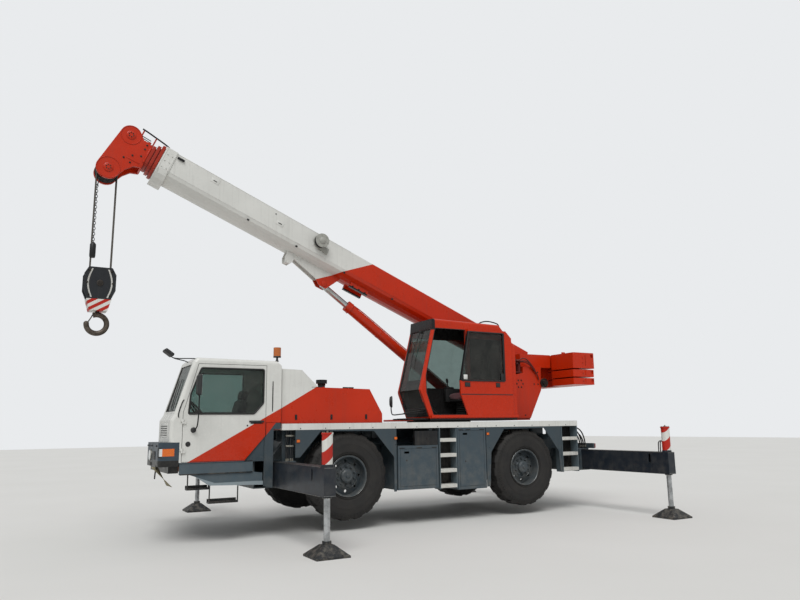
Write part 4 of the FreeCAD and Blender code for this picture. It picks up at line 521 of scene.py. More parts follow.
# Outriggers: box beams and jack tubes in dark navy enamel with red and white warning bands on the
# tubes, chromed rods and steel pads painted black. Weld beads, bolted caps and short hoses.
NAVY = "#1D242D"
BAND_RED = "#B4200F"
BAND_WHITE = "#DAD9D3"
POST_LOW = 1.140
JACK_Y = 3.0
BAND_SLANT = 0.9
BANDS = [(1.187, 1.36), (1.507, 1.68)]
CORNERS = [("fl", 3.645, 1), ("fr", 3.885, -1), ("rl", -2.820, 1), ("rr", -2.580, -1)]
jack_chrome = bare_metal("hard_chrome_jack_rod", "#C3C6C8", "#8F9192", 0.22, scale=11.0, paint_below=0.191)
for corner, x, hand in CORNERS:
    on_post = [((0, -hand, 0), -(JACK_Y - 0.085)), ((0, 0, -1), -POST_LOW)]
    areas = [(BAND_WHITE, on_post)]
    for low, high in BANDS:
        start = BAND_SLANT * x
        areas.append((BAND_RED, on_post + [((BAND_SLANT, 0, 1), start + high), ((-BAND_SLANT, 0, -1), -(start + low))]))
    finish_nodes(enamel("navy_outrigger_enamel_" + corner, NAVY, areas=areas, gloss=0.36, dust=0.4, chips=0.8, low_dirt=0.35),
                 "outrigger_beam_" + corner)
    finish_nodes(jack_chrome, "outrigger_jack_" + corner)
    bm = bmesh.new()
    for i in range(8):
        a = 2 * math.pi * (i + 0.5) / 8
        bolt(bm, (x + 0.062 * math.cos(a), hand * JACK_Y + 0.062 * math.sin(a), 1.545), (0, 0, 1), 0.015)
    lathe(bm, [(0, 0.016), (0.012, 0.016), (0.014, 0.011), (0.028, 0.011)], (x, hand * JACK_Y, 1.545), (0, 0, 1), 12)
    for i in range(10):
        a = 2 * math.pi * i / 10
        bolt(bm, (x + 0.054 * math.cos(a), hand * JACK_Y + 0.054 * math.sin(a), 0.7215), (0, 0, -1), 0.012)
    piece("jack_bolts_" + corner, "beam_" + corner, zinc_steel, bm)
    bm = bmesh.new()
    for z in (0.7365, 1.1055):
        for dx in (-0.083, 0.083):
            block(bm, (x + dx - 0.004, hand * 1.75 - 1.22, z - 0.004), (x + dx + 0.004, hand * 1.75 + 1.22, z + 0.004), 0.002)
    for z in (0.745, 1.097):
        block(bm, (x - 0.083, hand * 3.0885 - 0.004, z - 0.004), (x + 0.083, hand * 3.0885 + 0.002, z + 0.004), 0.002)
    # The left beams' seams, on the sunlit side, take bright steel as a painted highlight; the right beams' seams take
    # dark steel as painted shade.
    piece("beam_seams_" + corner, "beam_" + corner, worn_and_highlight_steel if hand > 0 else dark_steel, bm)
    pipe("jack_steel_pipes_" + corner, "beam_" + corner, pipe_steel,
         [[(x + dx, hand * (2.925 - 0.003), 1.30), (x + dx, hand * 2.885, 1.302), (x + dx, hand * 2.852, 1.27), (x + dx, hand * 2.850, 1.21),
           (x + dx, hand * 2.848, 1.145), (x + dx, hand * 2.846, 1.109)] for dx in (-0.024, 0.024)], 0.009)
    bm = bmesh.new()
    for a in (0.25, 0.75):
        for k in (0, 1, 2, 3):
            turn = math.pi / 2 * k
            out = Vector((math.cos(turn), math.sin(turn), 0))
            across = Vector((-out.y, out.x, 0))
            foot = Vector((x, hand * JACK_Y, 0.026)) + out * 0.212 + across * (a - 0.5) * 0.5
            bolt(bm, foot, (0, 0, 1), 0.02)
    lathe(bm, [(-0.004, 0.052), (0.008, 0.052), (0.010, 0.047), (0.012, 0.047)], (x, hand * JACK_Y, 0.17), (0, 0, 1), 24)
    piece("pad_fittings_" + corner, "jack_" + corner, dark_steel, bm)


# Deck, side panels, lockers and ladders: folded sheet. The deck's edge band is off-white enamel,
# its top grey non-slip plate; the panels and lockers under it are the frame's grey-blue.
OFF_WHITE = "#D9D9D4"
DECK_GREY = "#6B6E6C"
BLACK_PAINT = "#17181A"
CRANE_RED = "#C02B04"
DECK_TOP_Z = 1.678
deck_enamel = enamel("off_white_deck_enamel", OFF_WHITE, areas=[(DECK_GREY, [((0, 0, -1), -(DECK_TOP_Z - 0.002))])],
                     gloss=0.4, dust=0.35, chips=0.3)
finish_nodes(deck_enamel, "deck")
fender_red = (CRANE_RED, [((-1.2226, 0, -1), -6.267), ((-1, 0, 0), -3.6), ((0, -1, 0), -1.2)])
finish_nodes(enamel("grey_blue_panel_enamel", CHASSIS_BLUE, areas=[fender_red], gloss=0.4, dust=0.45, chips=0.4, low_dirt=0.7),
             "side_panels")
locker_enamel = enamel("grey_locker_enamel", "#404D55", gloss=0.38, dust=0.45, chips=0.3, low_dirt=0.6)
finish_nodes(locker_enamel, "side_lockers")
TREADS = [(0.446, 0.776, [0.565, 0.823, 1.081, 1.340]), (-2.394, -2.014, [0.735, 1.023, 1.310])]
tread_areas = []
for x0, x1, lows in TREADS:
    tread_areas.append((BLACK_PAINT, [((-1, 0, 0), -x0), ((1, 0, 0), x1)]))
    for low in lows:
        tread_areas.append((BAND_WHITE, [((-1, 0, 0), -x0), ((1, 0, 0), x1), ((0, 0, 1), low + 0.061), ((0, 0, -1), 0.001 - low)]))
finish_nodes(enamel("ladder_enamel", "#59666D", areas=tread_areas, gloss=0.4, dust=0.45, chips=0.5, low_dirt=0.5), "ladders")

black_enamel = enamel("black_enamel", BLACK_PAINT, gloss=0.4, dust=0.5, chips=0.4)
grip_metal = enamel("white_tread_enamel", "#C9C8C2", gloss=0.5, dust=0.6, chips=0.8)
bm = bmesh.new()
bars = bmesh.new()
for x0, x1, lows in TREADS:
    for hand in (1, -1):
        for low in lows:
            for k in range(3):
                z = low + 0.012 + 0.018 * k
                block(bm, (x0 + 0.01, hand * 1.2495 - 0.003, z - 0.0025), (x1 - 0.01, hand * 1.2495 + 0.003, z + 0.0025), 0.001)
            for k in range(11):
                x = x0 + 0.02 + (x1 - x0 - 0.04) * k / 10
                block(bars, (x - 0.006, hand * 1.066 - 0.006, low + 0.062), (x + 0.006, hand * 1.066 + 0.006, min(low + 0.250, 1.575)), 0.002)
piece("tread_ribs", "chassis", grip_metal, bm)
piece("ladder_back_ribs", "chassis", black_enamel, bars)

bm = bmesh.new()
block(bm, (0.823, 1.18, 1.292), (1.279, 1.242, 1.530), 0.004)
block(bm, (1.02, 1.240, 1.375), (1.045, 1.249, 1.425), 0.003)
for x0, x1, z0, z1 in ((0.868, 1.567, 0.63, 1.235), (-0.144, 0.374, 0.575, 1.522)):
    for hand in (1, -1):
        for x in (x0 + 0.03, x0 + 0.33, x1 - 0.03):
            lathe(bm, [(-0.05, 0.009), (0.05, 0.009)], (x, hand * 1.2465, z1 + 0.018), (1, 0, 0), 10)
        block(bm, (x1 - 0.17, hand * 1.247 - 0.004, z1 - 0.075), (x1 - 0.07, hand * 1.247 + 0.003, z1 - 0.035), 0.003)
        lathe(bm, [(-0.002, 0.017), (0.003, 0.017), (0.004, 0.012)], (x1 - 0.12, hand * 1.2465, z0 + 0.42), (0, hand, 0), 16)
piece("locker_fittings", "chassis", black_enamel, bm)
bm = bmesh.new()
for x in [3.34 - 0.42 * k for k in range(14)]:
    for hand in (1, -1):
        bolt(bm, (x, hand * 1.2495, 1.60), (0, hand, 0), 0.012)
for points in ([(1.655, 1.30), (1.655, 0.62), (2.12, 1.53), (2.90, 1.535)], [(-0.225, 0.60), (-0.28, 1.20), (-0.66, 1.525), (-1.50, 1.532), (-1.96, 1.0)]):
    for x, z in points:
        for hand in (1, -1):
            bolt(bm, (x, hand * 1.2495, z + 0.02), (0, hand, 0), 0.014)
piece("panel_bolts", "chassis", frame_enamel, bm)


# Engine hood: folded sheet in orange-red enamel, its raised front crown off-white, held by black
# pull latches; a bird-mesh grille at the rear, a rain cap on the exhaust. The engine is one block.
hood_white = (OFF_WHITE, [((-0.58, 0, -1), -4.025)])
hood_enamel = enamel("hood_enamel", CRANE_RED, areas=[hood_white, (BLACK_PAINT, [((-1, 0, 0), -2.80), ((1, 0, 0), 2.99), ((0, -1, 0), -0.9),
                                                                              ((0, 0, -1), -2.262)])], gloss=0.30, dust=0.25, chips=0.2)
finish_nodes(hood_enamel, "engine_hood")
finish_nodes(axle_paint, "engine_block")
bm = bmesh.new()
for x in (2.18, 2.80, 3.40):
    for hand in (1, -1):
        block(bm, (x - 0.018, hand * 1.203 - 0.005, 1.735), (x + 0.018, hand * 1.203 + 0.005, 1.815), 0.004)
        block(bm, (x - 0.010, hand * 1.208 - 0.005, 1.760), (x + 0.010, hand * 1.208 + 0.008, 1.790), 0.003)
for x in (2.50, 3.05):
    for k in (-1, 1):
        lathe(bm, [(-0.045, 0.011), (0.045, 0.011)], (x + 0.05 * k, 1.19, 2.245), (1, 0, 0), 10)
piece("hood_latches", "chassis", black_enamel, bm)
pipe("hood_grab_rail", "chassis", black_enamel,
     [[(3.60, 0.10, 2.26), (3.60, 0.10, 2.33), (3.55, 0.10, 2.35), (3.10, 0.10, 2.35), (3.05, 0.10, 2.33), (3.05, 0.10, 2.252)]], 0.012)
bm = bmesh.new()
for k in range(9):
    x = 1.869 + 0.0008 * k
    block(bm, (x - 0.006, -1.10, 1.70 + 0.014 * k), (x + 0.006, 1.10, 1.704 + 0.014 * k), 0.001)
for k in range(23):
    y = -1.10 + 0.1 * k
    block(bm, (1.862, y - 0.002, 1.70), (1.876, y + 0.002, 1.815), 0.001)
piece("hood_rear_mesh", "chassis", black_enamel, bm)
bm = bmesh.new()
lathe(bm, [(0, 0.061), (0.012, 0.066), (0.024, 0.061)], (2.896, 1.010, 2.285), (0, 0, 1), 32)
for i in range(3):
    a = 2 * math.pi * i / 3
    lathe(bm, [(0, 0.005), (0.05, 0.005)], (2.896 + 0.058 * math.cos(a), 1.010 + 0.058 * math.sin(a), 2.30), (0, 0, 1), 8)
piece("exhaust_clamp", "chassis", dark_steel, bm)


# Carrier cab: pressed steel in off-white enamel with a red flash that rises over the door to the
# hood, laminated green-tinted glass in black rubber seals, a dark sill and black trim.
flash = (CRANE_RED, [((0.5537, 0, 1), 3.939), ((0, -1, 0), -1.2)])
sill_slate = (CHASSIS_BLUE, [((1.1364, 0, 1), 5.930), ((0, -1, 0), -1.2), ((0, 0, 1), 1.50)])
low_slate = (CHASSIS_BLUE, [((0, 0, 1), 1.146)])
finish_nodes(enamel("cab_enamel", OFF_WHITE, areas=[flash, sill_slate, low_slate], gloss=0.24, dust=0.15, chips=0.1, low_dirt=0.25),
             "carrier_cab")
door_enamel = enamel("cab_door_enamel", OFF_WHITE, areas=[flash], gloss=0.24, dust=0.15, chips=0.1, low_dirt=0.25)
finish_nodes(door_enamel, "carrier_door")


def laminated_glass(name, tint, shade=0.0):
    """Safety glass: clear with a faint tint, and a film of dust; shade lays a flat dark layer over it, which is painted
    shade.
    """
    made, tree, out = bare_material(name)
    place = put(tree, "TexCoord").outputs["Object"]
    film = put(tree, "TexNoise", {"Vector": place, "Scale": 6.0, "Detail": 6.0, "Roughness": 0.7}).outputs["Fac"]
    film = put(tree, "MapRange", {"Value": film, "From Min": 0.4, "From Max": 0.8, "To Min": 0.02, "To Max": 0.12}).outputs[0]
    clear = put(tree, "BsdfTransparent", {"Color": linear(tint)})
    shine = put(tree, "BsdfGlossy", {"Color": (1, 1, 1, 1), "Roughness": 0.03})
    slant = put(tree, "Fresnel", {"IOR": 1.52}).outputs["Fac"]
    outside = put(tree, "Math", {0: 1.0, 1: put(tree, "NewGeometry").outputs["Backfacing"]}, operation="SUBTRACT").outputs[0]
    slant = put(tree, "Math", {0: slant, 1: outside}, operation="MULTIPLY").outputs[0]
    pane = put(tree, "MixShader", {0: slant, 1: clear.outputs["BSDF"], 2: shine.outputs["BSDF"]}).outputs["Shader"]
    dusty = put(tree, "BsdfDiffuse", {"Color": linear("#9A978F")}).outputs["BSDF"]
    pane = put(tree, "MixShader", {0: film, 1: pane, 2: dusty}).outputs["Shader"]
    # shade: a flat dark diffuse layer mixed over the pane, painted shade
    if shade:
        dark = put(tree, "BsdfDiffuse", {"Color": linear("#1C1F20")}).outputs["BSDF"]
        pane = put(tree, "MixShader", {0: shade, 1: pane, 2: dark}).outputs["Shader"]
    tree.links.new(pane, out.inputs["Surface"])
    return made


cab_glass = laminated_glass("laminated_cab_glass", "#C3D0CD")
finish_nodes(cab_glass, "carrier_cab_glass", "carrier_door_glass")
seal_rubber = moulded_rubber("window_seal_rubber", "#121314", "#1B1C1D", "#4A4742", rough=0.55)
DOOR_WINDOW = [(5.050, 1.830), (5.032, 2.110), (4.890, 2.495), (3.945, 2.495), (3.945, 1.990), (4.085, 1.830)]
SIDE_WINDOW = [(5.040, 1.860), (4.900, 2.480), (4.010, 2.480), (4.010, 1.860)]
pipe("door_window_seal", "cab_door", seal_rubber, [cornered([(x, 1.2515, z) for x, z in DOOR_WINDOW], 0.045)], 0.013, closed=True)
pipe("side_window_seal", "chassis", seal_rubber, [cornered([(x, 0.3785, z) for x, z in SIDE_WINDOW], 0.045)], 0.013, closed=True)
SCREEN = [(5.2075, 0.455, 1.87), (5.2075, 1.175, 1.87), (4.9985, 1.175, 2.55), (4.9985, 0.455, 2.55)]
pipe("windscreen_seal", "chassis", seal_rubber, [cornered(SCREEN, 0.05)], 0.014, closed=True)
pipe("rear_window_seal", "chassis", seal_rubber,
     [cornered([(3.6585, 0.51, 2.06), (3.6585, 1.12, 2.06), (3.6585, 1.12, 2.48), (3.6585, 0.51, 2.48)], 0.05)], 0.012, closed=True)
bm = bmesh.new()
for x0, z0, x1, z1 in ((5.127, 1.153, 5.127, 1.848), (5.127, 1.848, 5.095, 1.958), (5.095, 1.958, 4.932, 2.556), (4.932, 2.557, 3.903, 2.557),
                       (3.903, 2.557, 3.903, 1.502), (3.903, 1.502, 4.203, 1.153), (4.203, 1.153, 5.127, 1.153)):
    run = Vector((x1 - x0, 0, z1 - z0))
    lathe(bm, [(0, 0.003), (run.length, 0.003)], (x0, 1.2465, z0), run, 6)
piece("door_gap_seal", "chassis", seal_rubber, bm)

# Wipers, gutter, washer jets, lifting handle and the small blank reflector of the cab
bm = bmesh.new()
lean = Vector((5.000 - 5.209, 0, 2.55 - 1.87)).normalized()
for y, sweep in ((0.66, 0.30), (0.97, 0.30)):
    foot = Vector((5.224, y, 1.838))
    lathe(bm, [(-0.02, 0.016), (0.012, 0.016), (0.018, 0.010)], foot, (0.95, 0, 0.30), 14)
    arm = (lean * math.cos(sweep) + Vector((0, -1, 0)) * math.sin(sweep)).normalized()
    tip = foot + arm * 0.34 + Vector((0.014, 0, 0.0))
    lathe(bm, [(0, 0.006), (0.33, 0.004)], foot + Vector((0.012, 0, 0.0)), arm, 8)
    blade = (lean * math.cos(sweep - 0.12) + Vector((0, -1, 0)) * math.sin(sweep - 0.12)).normalized()
    lathe(bm, [(-0.22, 0.006), (0.22, 0.006)], tip - Vector((0.004, 0, 0)), blade, 6)
piece("windscreen_wipers", "chassis", black_plastic, bm)
bm = bmesh.new()
block(bm, (4.05, 1.248, 2.585), (4.93, 1.2495, 2.597), 0.0005)
block(bm, (5.298, 0.55, 1.50), (5.303, 1.08, 1.70), 0.002)
for y in (0.52, 0.70, 0.93, 1.11):
    bolt(bm, (5.301, y, 1.72), (1, 0, 0), 0.012)
piece("front_panel_trim", "chassis", door_enamel, bm)
bm = bmesh.new()
for k in range(5):
    block(bm, (5.298, 0.58, 1.525 + 0.032 * k), (5.3045, 1.05, 1.539 + 0.032 * k), 0.001)
piece("front_grille_slots", "chassis", black_enamel, bm)
pipe("cab_grab_handles", "chassis", black_enamel,
     [[(5.185, 1.247, 1.78), (5.205, 1.249, 1.80), (5.140, 1.249, 2.02), (5.120, 1.247, 2.03)],
      [(3.80, 1.244, 1.86), (3.80, 1.249, 1.90), (3.80, 1.249, 2.28), (3.80, 1.244, 2.32)]], 0.009)
bm = bmesh.new()
lathe(bm, [(0, 0.036), (0.004, 0.036), (0.007, 0.031), (0.007, 0.022)], (5.044, 1.2495, 1.403), (0, 1, 0), 28)
lathe(bm, [(0, 0.021), (0.0095, 0.021), (0.0115, 0.012)], (5.044, 1.2495, 1.403), (0, 1, 0), 20)
block(bm, (3.93, 1.2495, 1.700), (4.16, 1.2655, 1.728), 0.006)
block(bm, (3.962, 1.238, 1.682), (4.128, 1.2495, 1.708), 0.003)
lathe(bm, [(0, 0.012), (0.004, 0.012), (0.005, 0.009)], (4.185, 1.2495, 1.655), (0, 1, 0), 16)
piece("door_cap_and_handle", "cab_door", black_plastic, bm)

# Door mirror: a round black foot, a bent steel arm and a moulded housing with flat silvered glass
mirror_body = "cab_door"
bm = bmesh.new()
lathe(bm, [(0, 0.040), (0.006, 0.040), (0.014, 0.034), (0.03, 0.030), (0.034, 0.018)], (4.975, 1.2503, 1.600), (0, 1, 0), 28)
foot = piece("mirror_foot", mirror_body, black_plastic, bm)
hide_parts("door_mirror")
arm = pipe("mirror_arm", mirror_body, black_enamel,
           [[(4.975, 1.265, 1.600), (4.975, 1.300, 1.602), (4.948, 1.345, 1.635), (4.942, 1.372, 1.72), (4.942, 1.395, 1.90), (4.944, 1.40, 2.10),
             (4.945, 1.40, 2.30), (4.945, 1.40, 2.43)]], 0.0095)
bm = bmesh.new()
made = bmesh.ops.create_cube(bm, size=1)["verts"]
for vert in made:
    vert.co = Vector((4.957 + vert.co.x * 0.056, 1.40 + vert.co.y * 0.176, 2.24 + vert.co.z * 0.316))
for vert in bm.verts:
    if vert.co.x > 4.957:
        vert.co.y = 1.40 + (vert.co.y - 1.40) * 0.72
        vert.co.z = 2.24 + (vert.co.z - 2.24) * 0.84
bmesh.ops.bevel(bm, geom=bm.edges[:], offset=0.021, segments=4, profile=0.5, affect="EDGES")
housing = piece("mirror_housing", mirror_body, black_plastic, bm)
bm = bmesh.new()
block(bm, (4.9255, 1.325, 2.095), (4.9285, 1.475, 2.385), 0.001)
silver = bare_metal("silvered_mirror_glass", "#D9DCDD", "#B9BEC0", 0.04, scale=3.0)
glass = piece("mirror_glass", mirror_body, silver, bm)
for part in (arm, housing, glass):
    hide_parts("door_mirror")

# Roof mirror over the windscreen on two bent tubes
pipe("roof_mirror_arms", "chassis", black_enamel,
     [[(4.930, 1.155, 2.615), (4.945, 1.15, 2.640), (5.10, 1.15, 2.634), (5.26, 1.15, 2.628), (5.315, 1.14, 2.655), (5.352, 1.12, 2.715)],
      [(4.985, 0.80, 2.60), (5.02, 0.82, 2.625), (5.15, 0.95, 2.632), (5.28, 1.09, 2.640), (5.33, 1.10, 2.68)]], 0.0075)
bm = bmesh.new()
made = bmesh.ops.create_cube(bm, size=1)["verts"]
for vert in made:
    vert.co = Vector((5.345 + vert.co.x * 0.150, 1.11 + vert.co.y * 0.22, 2.712 + vert.co.z * 0.052))
bmesh.ops.rotate(bm, verts=bm.verts[:], cent=(5.345, 1.11, 2.712), matrix=Matrix.Rotation(-0.62, 3, "Y"))
bmesh.ops.bevel(bm, geom=bm.edges[:], offset=0.020, segments=3, profile=0.5, affect="EDGES")
piece("roof_mirror_housing", "chassis", black_plastic, bm)

# Cab steps' perforated treads, the lower fairings' grooves and the small bracket under the bumper
step_light = (("#8C989E"), [((0, 0, 1), 0.8845), ((0, 1, 0), 1.2303)])
slope_light = (("#8C989E"), [((-0.6316, 0, 1), -2.0700), ((-1, 0, 0), -4.67), ((0, 1, 0), 1.2303), ((0, 0, -1), -0.81)])
under_flat = (BLACK_PAINT, [((0, 0, 1), 0.7855)])
under_slope = (BLACK_PAINT, [((-0.6488, 0, 1), -2.2475), ((-1, 0, 0), -4.70), ((0, 0, 1), 1.03), ((0, 1, 0), 1.2303)])
finish_nodes(enamel("skirt_enamel", "#4B5961", areas=[step_light, slope_light, under_flat, under_slope], gloss=0.4, dust=0.4, chips=0.4,
                    low_dirt=0.4), "cab_steps")
bm = bmesh.new()
block(bm, (4.09, 1.2455, 0.972), (5.14, 1.2475, 0.988), 0.0006)
block(bm, (4.09, 1.2455, 1.134), (5.14, 1.2475, 1.146), 0.0006)
for x0, x1, z in ((4.712, 5.026, 0.782), (4.284, 4.712, 0.580)):
    count = int((x1 - x0) / 0.032)
    for k in range(count):
        x = x0 + 0.016 + 0.032 * k
        for y in (1.115, 1.145, 1.175, 1.205):
            lathe(bm, [(-0.001, 0.009), (0.004, 0.009), (0.006, 0.006)], (x, y, z), (0, 0, 1), 8)
piece("step_treads", "chassis", black_enamel, bm)
rusty = enamel("rusty_bracket_paint", "#6E3A22", gloss=0.6, dust=0.6, chips=1.0)
bm = bmesh.new()
block(bm, (5.085, 1.13, 1.030), (5.158, 1.215, 1.098), 0.010)
bolt(bm, (5.10, 1.215, 1.065), (0, 1, 0), 0.018)
bolt(bm, (5.14, 1.215, 1.065), (0, 1, 0), 0.018)
piece("step_bracket", "chassis", rusty, bm)
bm = bmesh.new()
block(bm, (3.652, 1.205, 1.80), (3.668, 1.228, 1.885), 0.004)
lathe(bm, [(0, 0.012), (0.05, 0.012), (0.052, 0.008)], (3.660, 1.218, 1.842), (1, 0, 0), 12)
piece("hood_clip", "chassis", enamel("amber_clip_paint", "#B8641C", gloss=0.4, dust=0.3, chips=0.4), bm)

# Bumper: welded box in slate enamel with a black apron, the corner lamp in a dark recess, lamp
# rims, a beige flap of reinforced rubber and a dark hanging bar
black_apron = (BLACK_PAINT, [((0, 0, 1), 1.180)])
lamp_recess = (BLACK_PAINT, [((0, -1, 0), -1.188), ((0, 1, 0), 1.2495), ((-1, 0, 0), -5.22), ((0, 0, -1), -1.22), ((0, 0, 1), 1.36)])
finish_nodes(enamel("bumper_enamel", "#34414C", areas=[black_apron, lamp_recess], gloss=0.36, dust=0.4, chips=0.4, low_dirt=0.5), "bumper")
bm = bmesh.new()
for y, r in ((0.64, 0.070),):
    lathe(bm, [(-0.012, r + 0.012), (0.006, r + 0.012), (0.010, r + 0.004), (0.004, r + 0.001), (-0.012, r + 0.012)], (5.444, y, 1.25), (1, 0, 0), 36)
lathe(bm, [(-0.002, 0.071), (0.008, 0.071), (0.012, 0.063), (0.006, 0.0605), (-0.002, 0.071)], (5.1305, -0.90, 1.195), (1, 0, 0), 36)
piece("lamp_rims", "chassis", zinc_steel, bm)
bm = bmesh.new()
block(bm, (5.439, 0.80, 1.19), (5.446, 1.02, 1.31), 0.004)
for k in range(4):
    block(bm, (5.444, 0.81, 1.205 + 0.027 * k), (5.448, 1.01, 1.214 + 0.027 * k), 0.001)
for y in (0.42, 0.56, 0.74, 1.10):
    bolt(bm, (5.44, y, 1.385), (1, 0, 0), 0.020)
block(bm, (5.436, 0.60, 1.10), (5.450, 0.72, 1.15), 0.004)
piece("bumper_plate_and_bolts", "chassis", black_enamel, bm)
bm = bmesh.new()
rows = []
for i in range(9):
    t = i / 8
    row = []
    for k in range(5):
        s = k / 4
        row.append(bm.verts.new((5.405 - 0.135 * t + 0.10 * s * (1 - 0.55 * t) - 0.10 * s * t, 1.02 + 0.10 * s + 0.008 * math.sin(5 * t + 3 * s),
                                 1.094 - 0.265 * t - 0.02 * s * t)))
    rows.append(row)
for low, high in zip(rows, rows[1:]):
    for a, b, c, d in zip(low, low[1:], high[1:], high):
        bm.faces.new((a, b, c, d))
flap = piece("bumper_flap", "chassis", moulded_rubber("beige_flap_rubber", "#8C8468", "#7B735A", "#A19A85", rough=0.75), bm)
thick = flap.modifiers.new("thickness", "SOLIDIFY")
thick.thickness = 0.005
pipe("bumper_hanging_bar", "chassis", black_enamel, [[(5.435, 1.09, 1.115), (5.440, 1.09, 1.04), (5.446, 1.09, 0.99), (5.448, 1.09, 0.93)]], 0.010)

# Lamps: moulded acrylic lenses, amber at the sides and on the roof, red at the rear, clear in front
def acrylic(name, ground, areas):
    """Coloured acrylic over a bright reflector, with moulded prisms."""
    made, tree, out = bare_material(name)
    place = put(tree, "TexCoord").outputs["Object"]
    cells = put(tree, "TexVoronoi", {"Vector": place, "Scale": 120.0}).outputs["Distance"]
    tone = put(tree, "MapRange", {"Value": cells, "From Max": 0.7, "To Min": 0.8, "To Max": 1.15}).outputs[0]
    colour = painted_areas(tree, place, ground, areas)
    shade = put(tree, "VectorMath", {0: colour, "Scale": tone}, operation="SCALE").outputs["Vector"]
    dent = put(tree, "Bump", {"Height": cells, "Strength": 0.4, "Distance": 0.002}).outputs["Normal"]
    finish = put(tree, "BsdfPrincipled", {"Base Color": shade, "Roughness": 0.12, "IOR": 1.49, "Normal": dent})
    finish.inputs["Coat Weight"].default_value = 0.6
    tree.links.new(finish.outputs["BSDF"], out.inputs["Surface"])
    return made


rear_red = ("#8E1712", [((1, 0, 0), -2.9)])
front_clear = ("#D5D9DA", [((-1, 0, 0), -5.12), ((0, 1, 0), 1.1)])
indicator_clear = ("#D5D9DA", [((-1, 0, 0), -5.39), ((0, -1, 0), -1.1)])
roof_amber = ("#B4632C", [((0, 0, -1), -2.70)])
stem_black = (BLACK_PAINT, [((0, 0, -1), -2.50), ((0, 0, 1), 2.708)])
finish_nodes(acrylic("lamp_acrylic", "#D9660C", [rear_red, front_clear, indicator_clear, roof_amber, stem_black]), "lamps")
bm = bmesh.new()
lathe(bm, [(0, 0.030), (0.010, 0.030), (0.014, 0.018), (0.05, 0.0155)], (3.705, 1.14, 2.638), (0, 0, 1), 20)
lathe(bm, [(0, 0.060), (0.010, 0.0605), (0.016, 0.060), (0.020, 0.0585)], (3.705, 1.14, 2.700), (0, 0, 1), 32)
for x, z in ((3.38, 1.41), (1.66, 1.42), (-0.24, 1.46)):
    for hand in (1, -1):
        block(bm, (x - 0.030, hand * 1.2525 - 0.0022, z - 0.028), (x + 0.030, hand * 1.2525 + 0.0022, z + 0.028), 0.001)
piece("lamp_bases", "chassis", black_plastic, bm)

# Cab interior: a moulded dash, a steering wheel with a padded rim, a suspension seat with a cloth
# cushion and back, all in black and dark grey
def seat_cloth(name, ground, thread, dusty, cord_mm=3.0):
    """Woven seat cloth: ribs of yarn, drawn about twice as coarse as the real 1.5 mm to show."""
    made, tree, out = bare_material(name)
    place = put(tree, "TexCoord").outputs["Object"]
    weave = put(tree, "TexWave", {"Vector": place, "Scale": 1000 / cord_mm / 20, "Distortion": 0.6, "Detail": 2.0}, bands_direction="Y")
    cross = put(tree, "TexWave", {"Vector": place, "Scale": 1000 / cord_mm / 20, "Distortion": 0.6, "Detail": 2.0}, bands_direction="Z")
    yarn = put(tree, "Math", {0: weave.outputs["Fac"], 1: cross.outputs["Fac"]}, operation="MULTIPLY").outputs[0]
    tone = put(tree, "Mix", {"Factor": yarn, "A": linear(ground), "B": linear(thread)}, data_type="RGBA").outputs["Result"]
    worn = put(tree, "TexNoise", {"Vector": place, "Scale": 9.0, "Detail": 6.0}).outputs["Fac"]
    worn = put(tree, "MapRange", {"Value": worn, "From Min": 0.5, "From Max": 0.8, "To Max": 0.5}).outputs[0]
    tone = put(tree, "Mix", {"Factor": worn, "A": tone, "B": linear(dusty)}, data_type="RGBA").outputs["Result"]
    skin = put(tree, "Bump", {"Height": yarn, "Strength": 0.5, "Distance": 0.0015}).outputs["Normal"]
    finish = put(tree, "BsdfPrincipled", {"Base Color": tone, "Roughness": 0.9, "Normal": skin})
    finish.inputs["Sheen Weight"].default_value = 0.4
    tree.links.new(finish.outputs["BSDF"], out.inputs["Surface"])
    return made


def cushion(name, body, material, middle, size, crown, lean=0.0, channels=3):
    """A padded form: crowned faces, sides that pull in between the corners, and sewn channels
    across it. size is full width in x, y and z; lean turns it about Y through its middle."""
    bm = bmesh.new()
    bmesh.ops.create_cube(bm, size=2)
    bmesh.ops.subdivide_edges(bm, edges=bm.edges[:], cuts=11, use_grid_fill=True)
    for vert in bm.verts:
        x, y, z = vert.co
        puff = (1 - x ** 4) * (1 - y ** 4)
        pull = (1 - (1 - x * x) * 0.035 * (abs(y) > 0.999) - (1 - y * y) * 0.03 * (abs(x) > 0.999))
        corner = 1 - 0.10 * max(0.0, abs(x) + abs(y) + abs(z) - 2.0)
        sewn = 0.0
        for k in range(channels):
            at = -0.6 + 1.2 * k / max(1, channels - 1)
            sewn -= 0.10 * math.exp(-((x - at) / 0.055) ** 2)
        rise = z * (1 + crown * puff) + (sewn * puff if z > 0.99 else 0.0)
        vert.co = Vector((x * size[0] / 2 * pull * corner, y * size[1] / 2 * pull * corner, rise * size[2] / 2 * corner))
    bmesh.ops.rotate(bm, verts=bm.verts[:], cent=(0, 0, 0), matrix=Matrix.Rotation(lean, 3, "Y"))
    bmesh.ops.translate(bm, verts=bm.verts[:], vec=Vector(middle))
    made = piece(name, body, material, bm)
    soft = made.modifiers.new("soft", "SUBSURF")
    soft.levels = soft.render_levels = 1
    return made


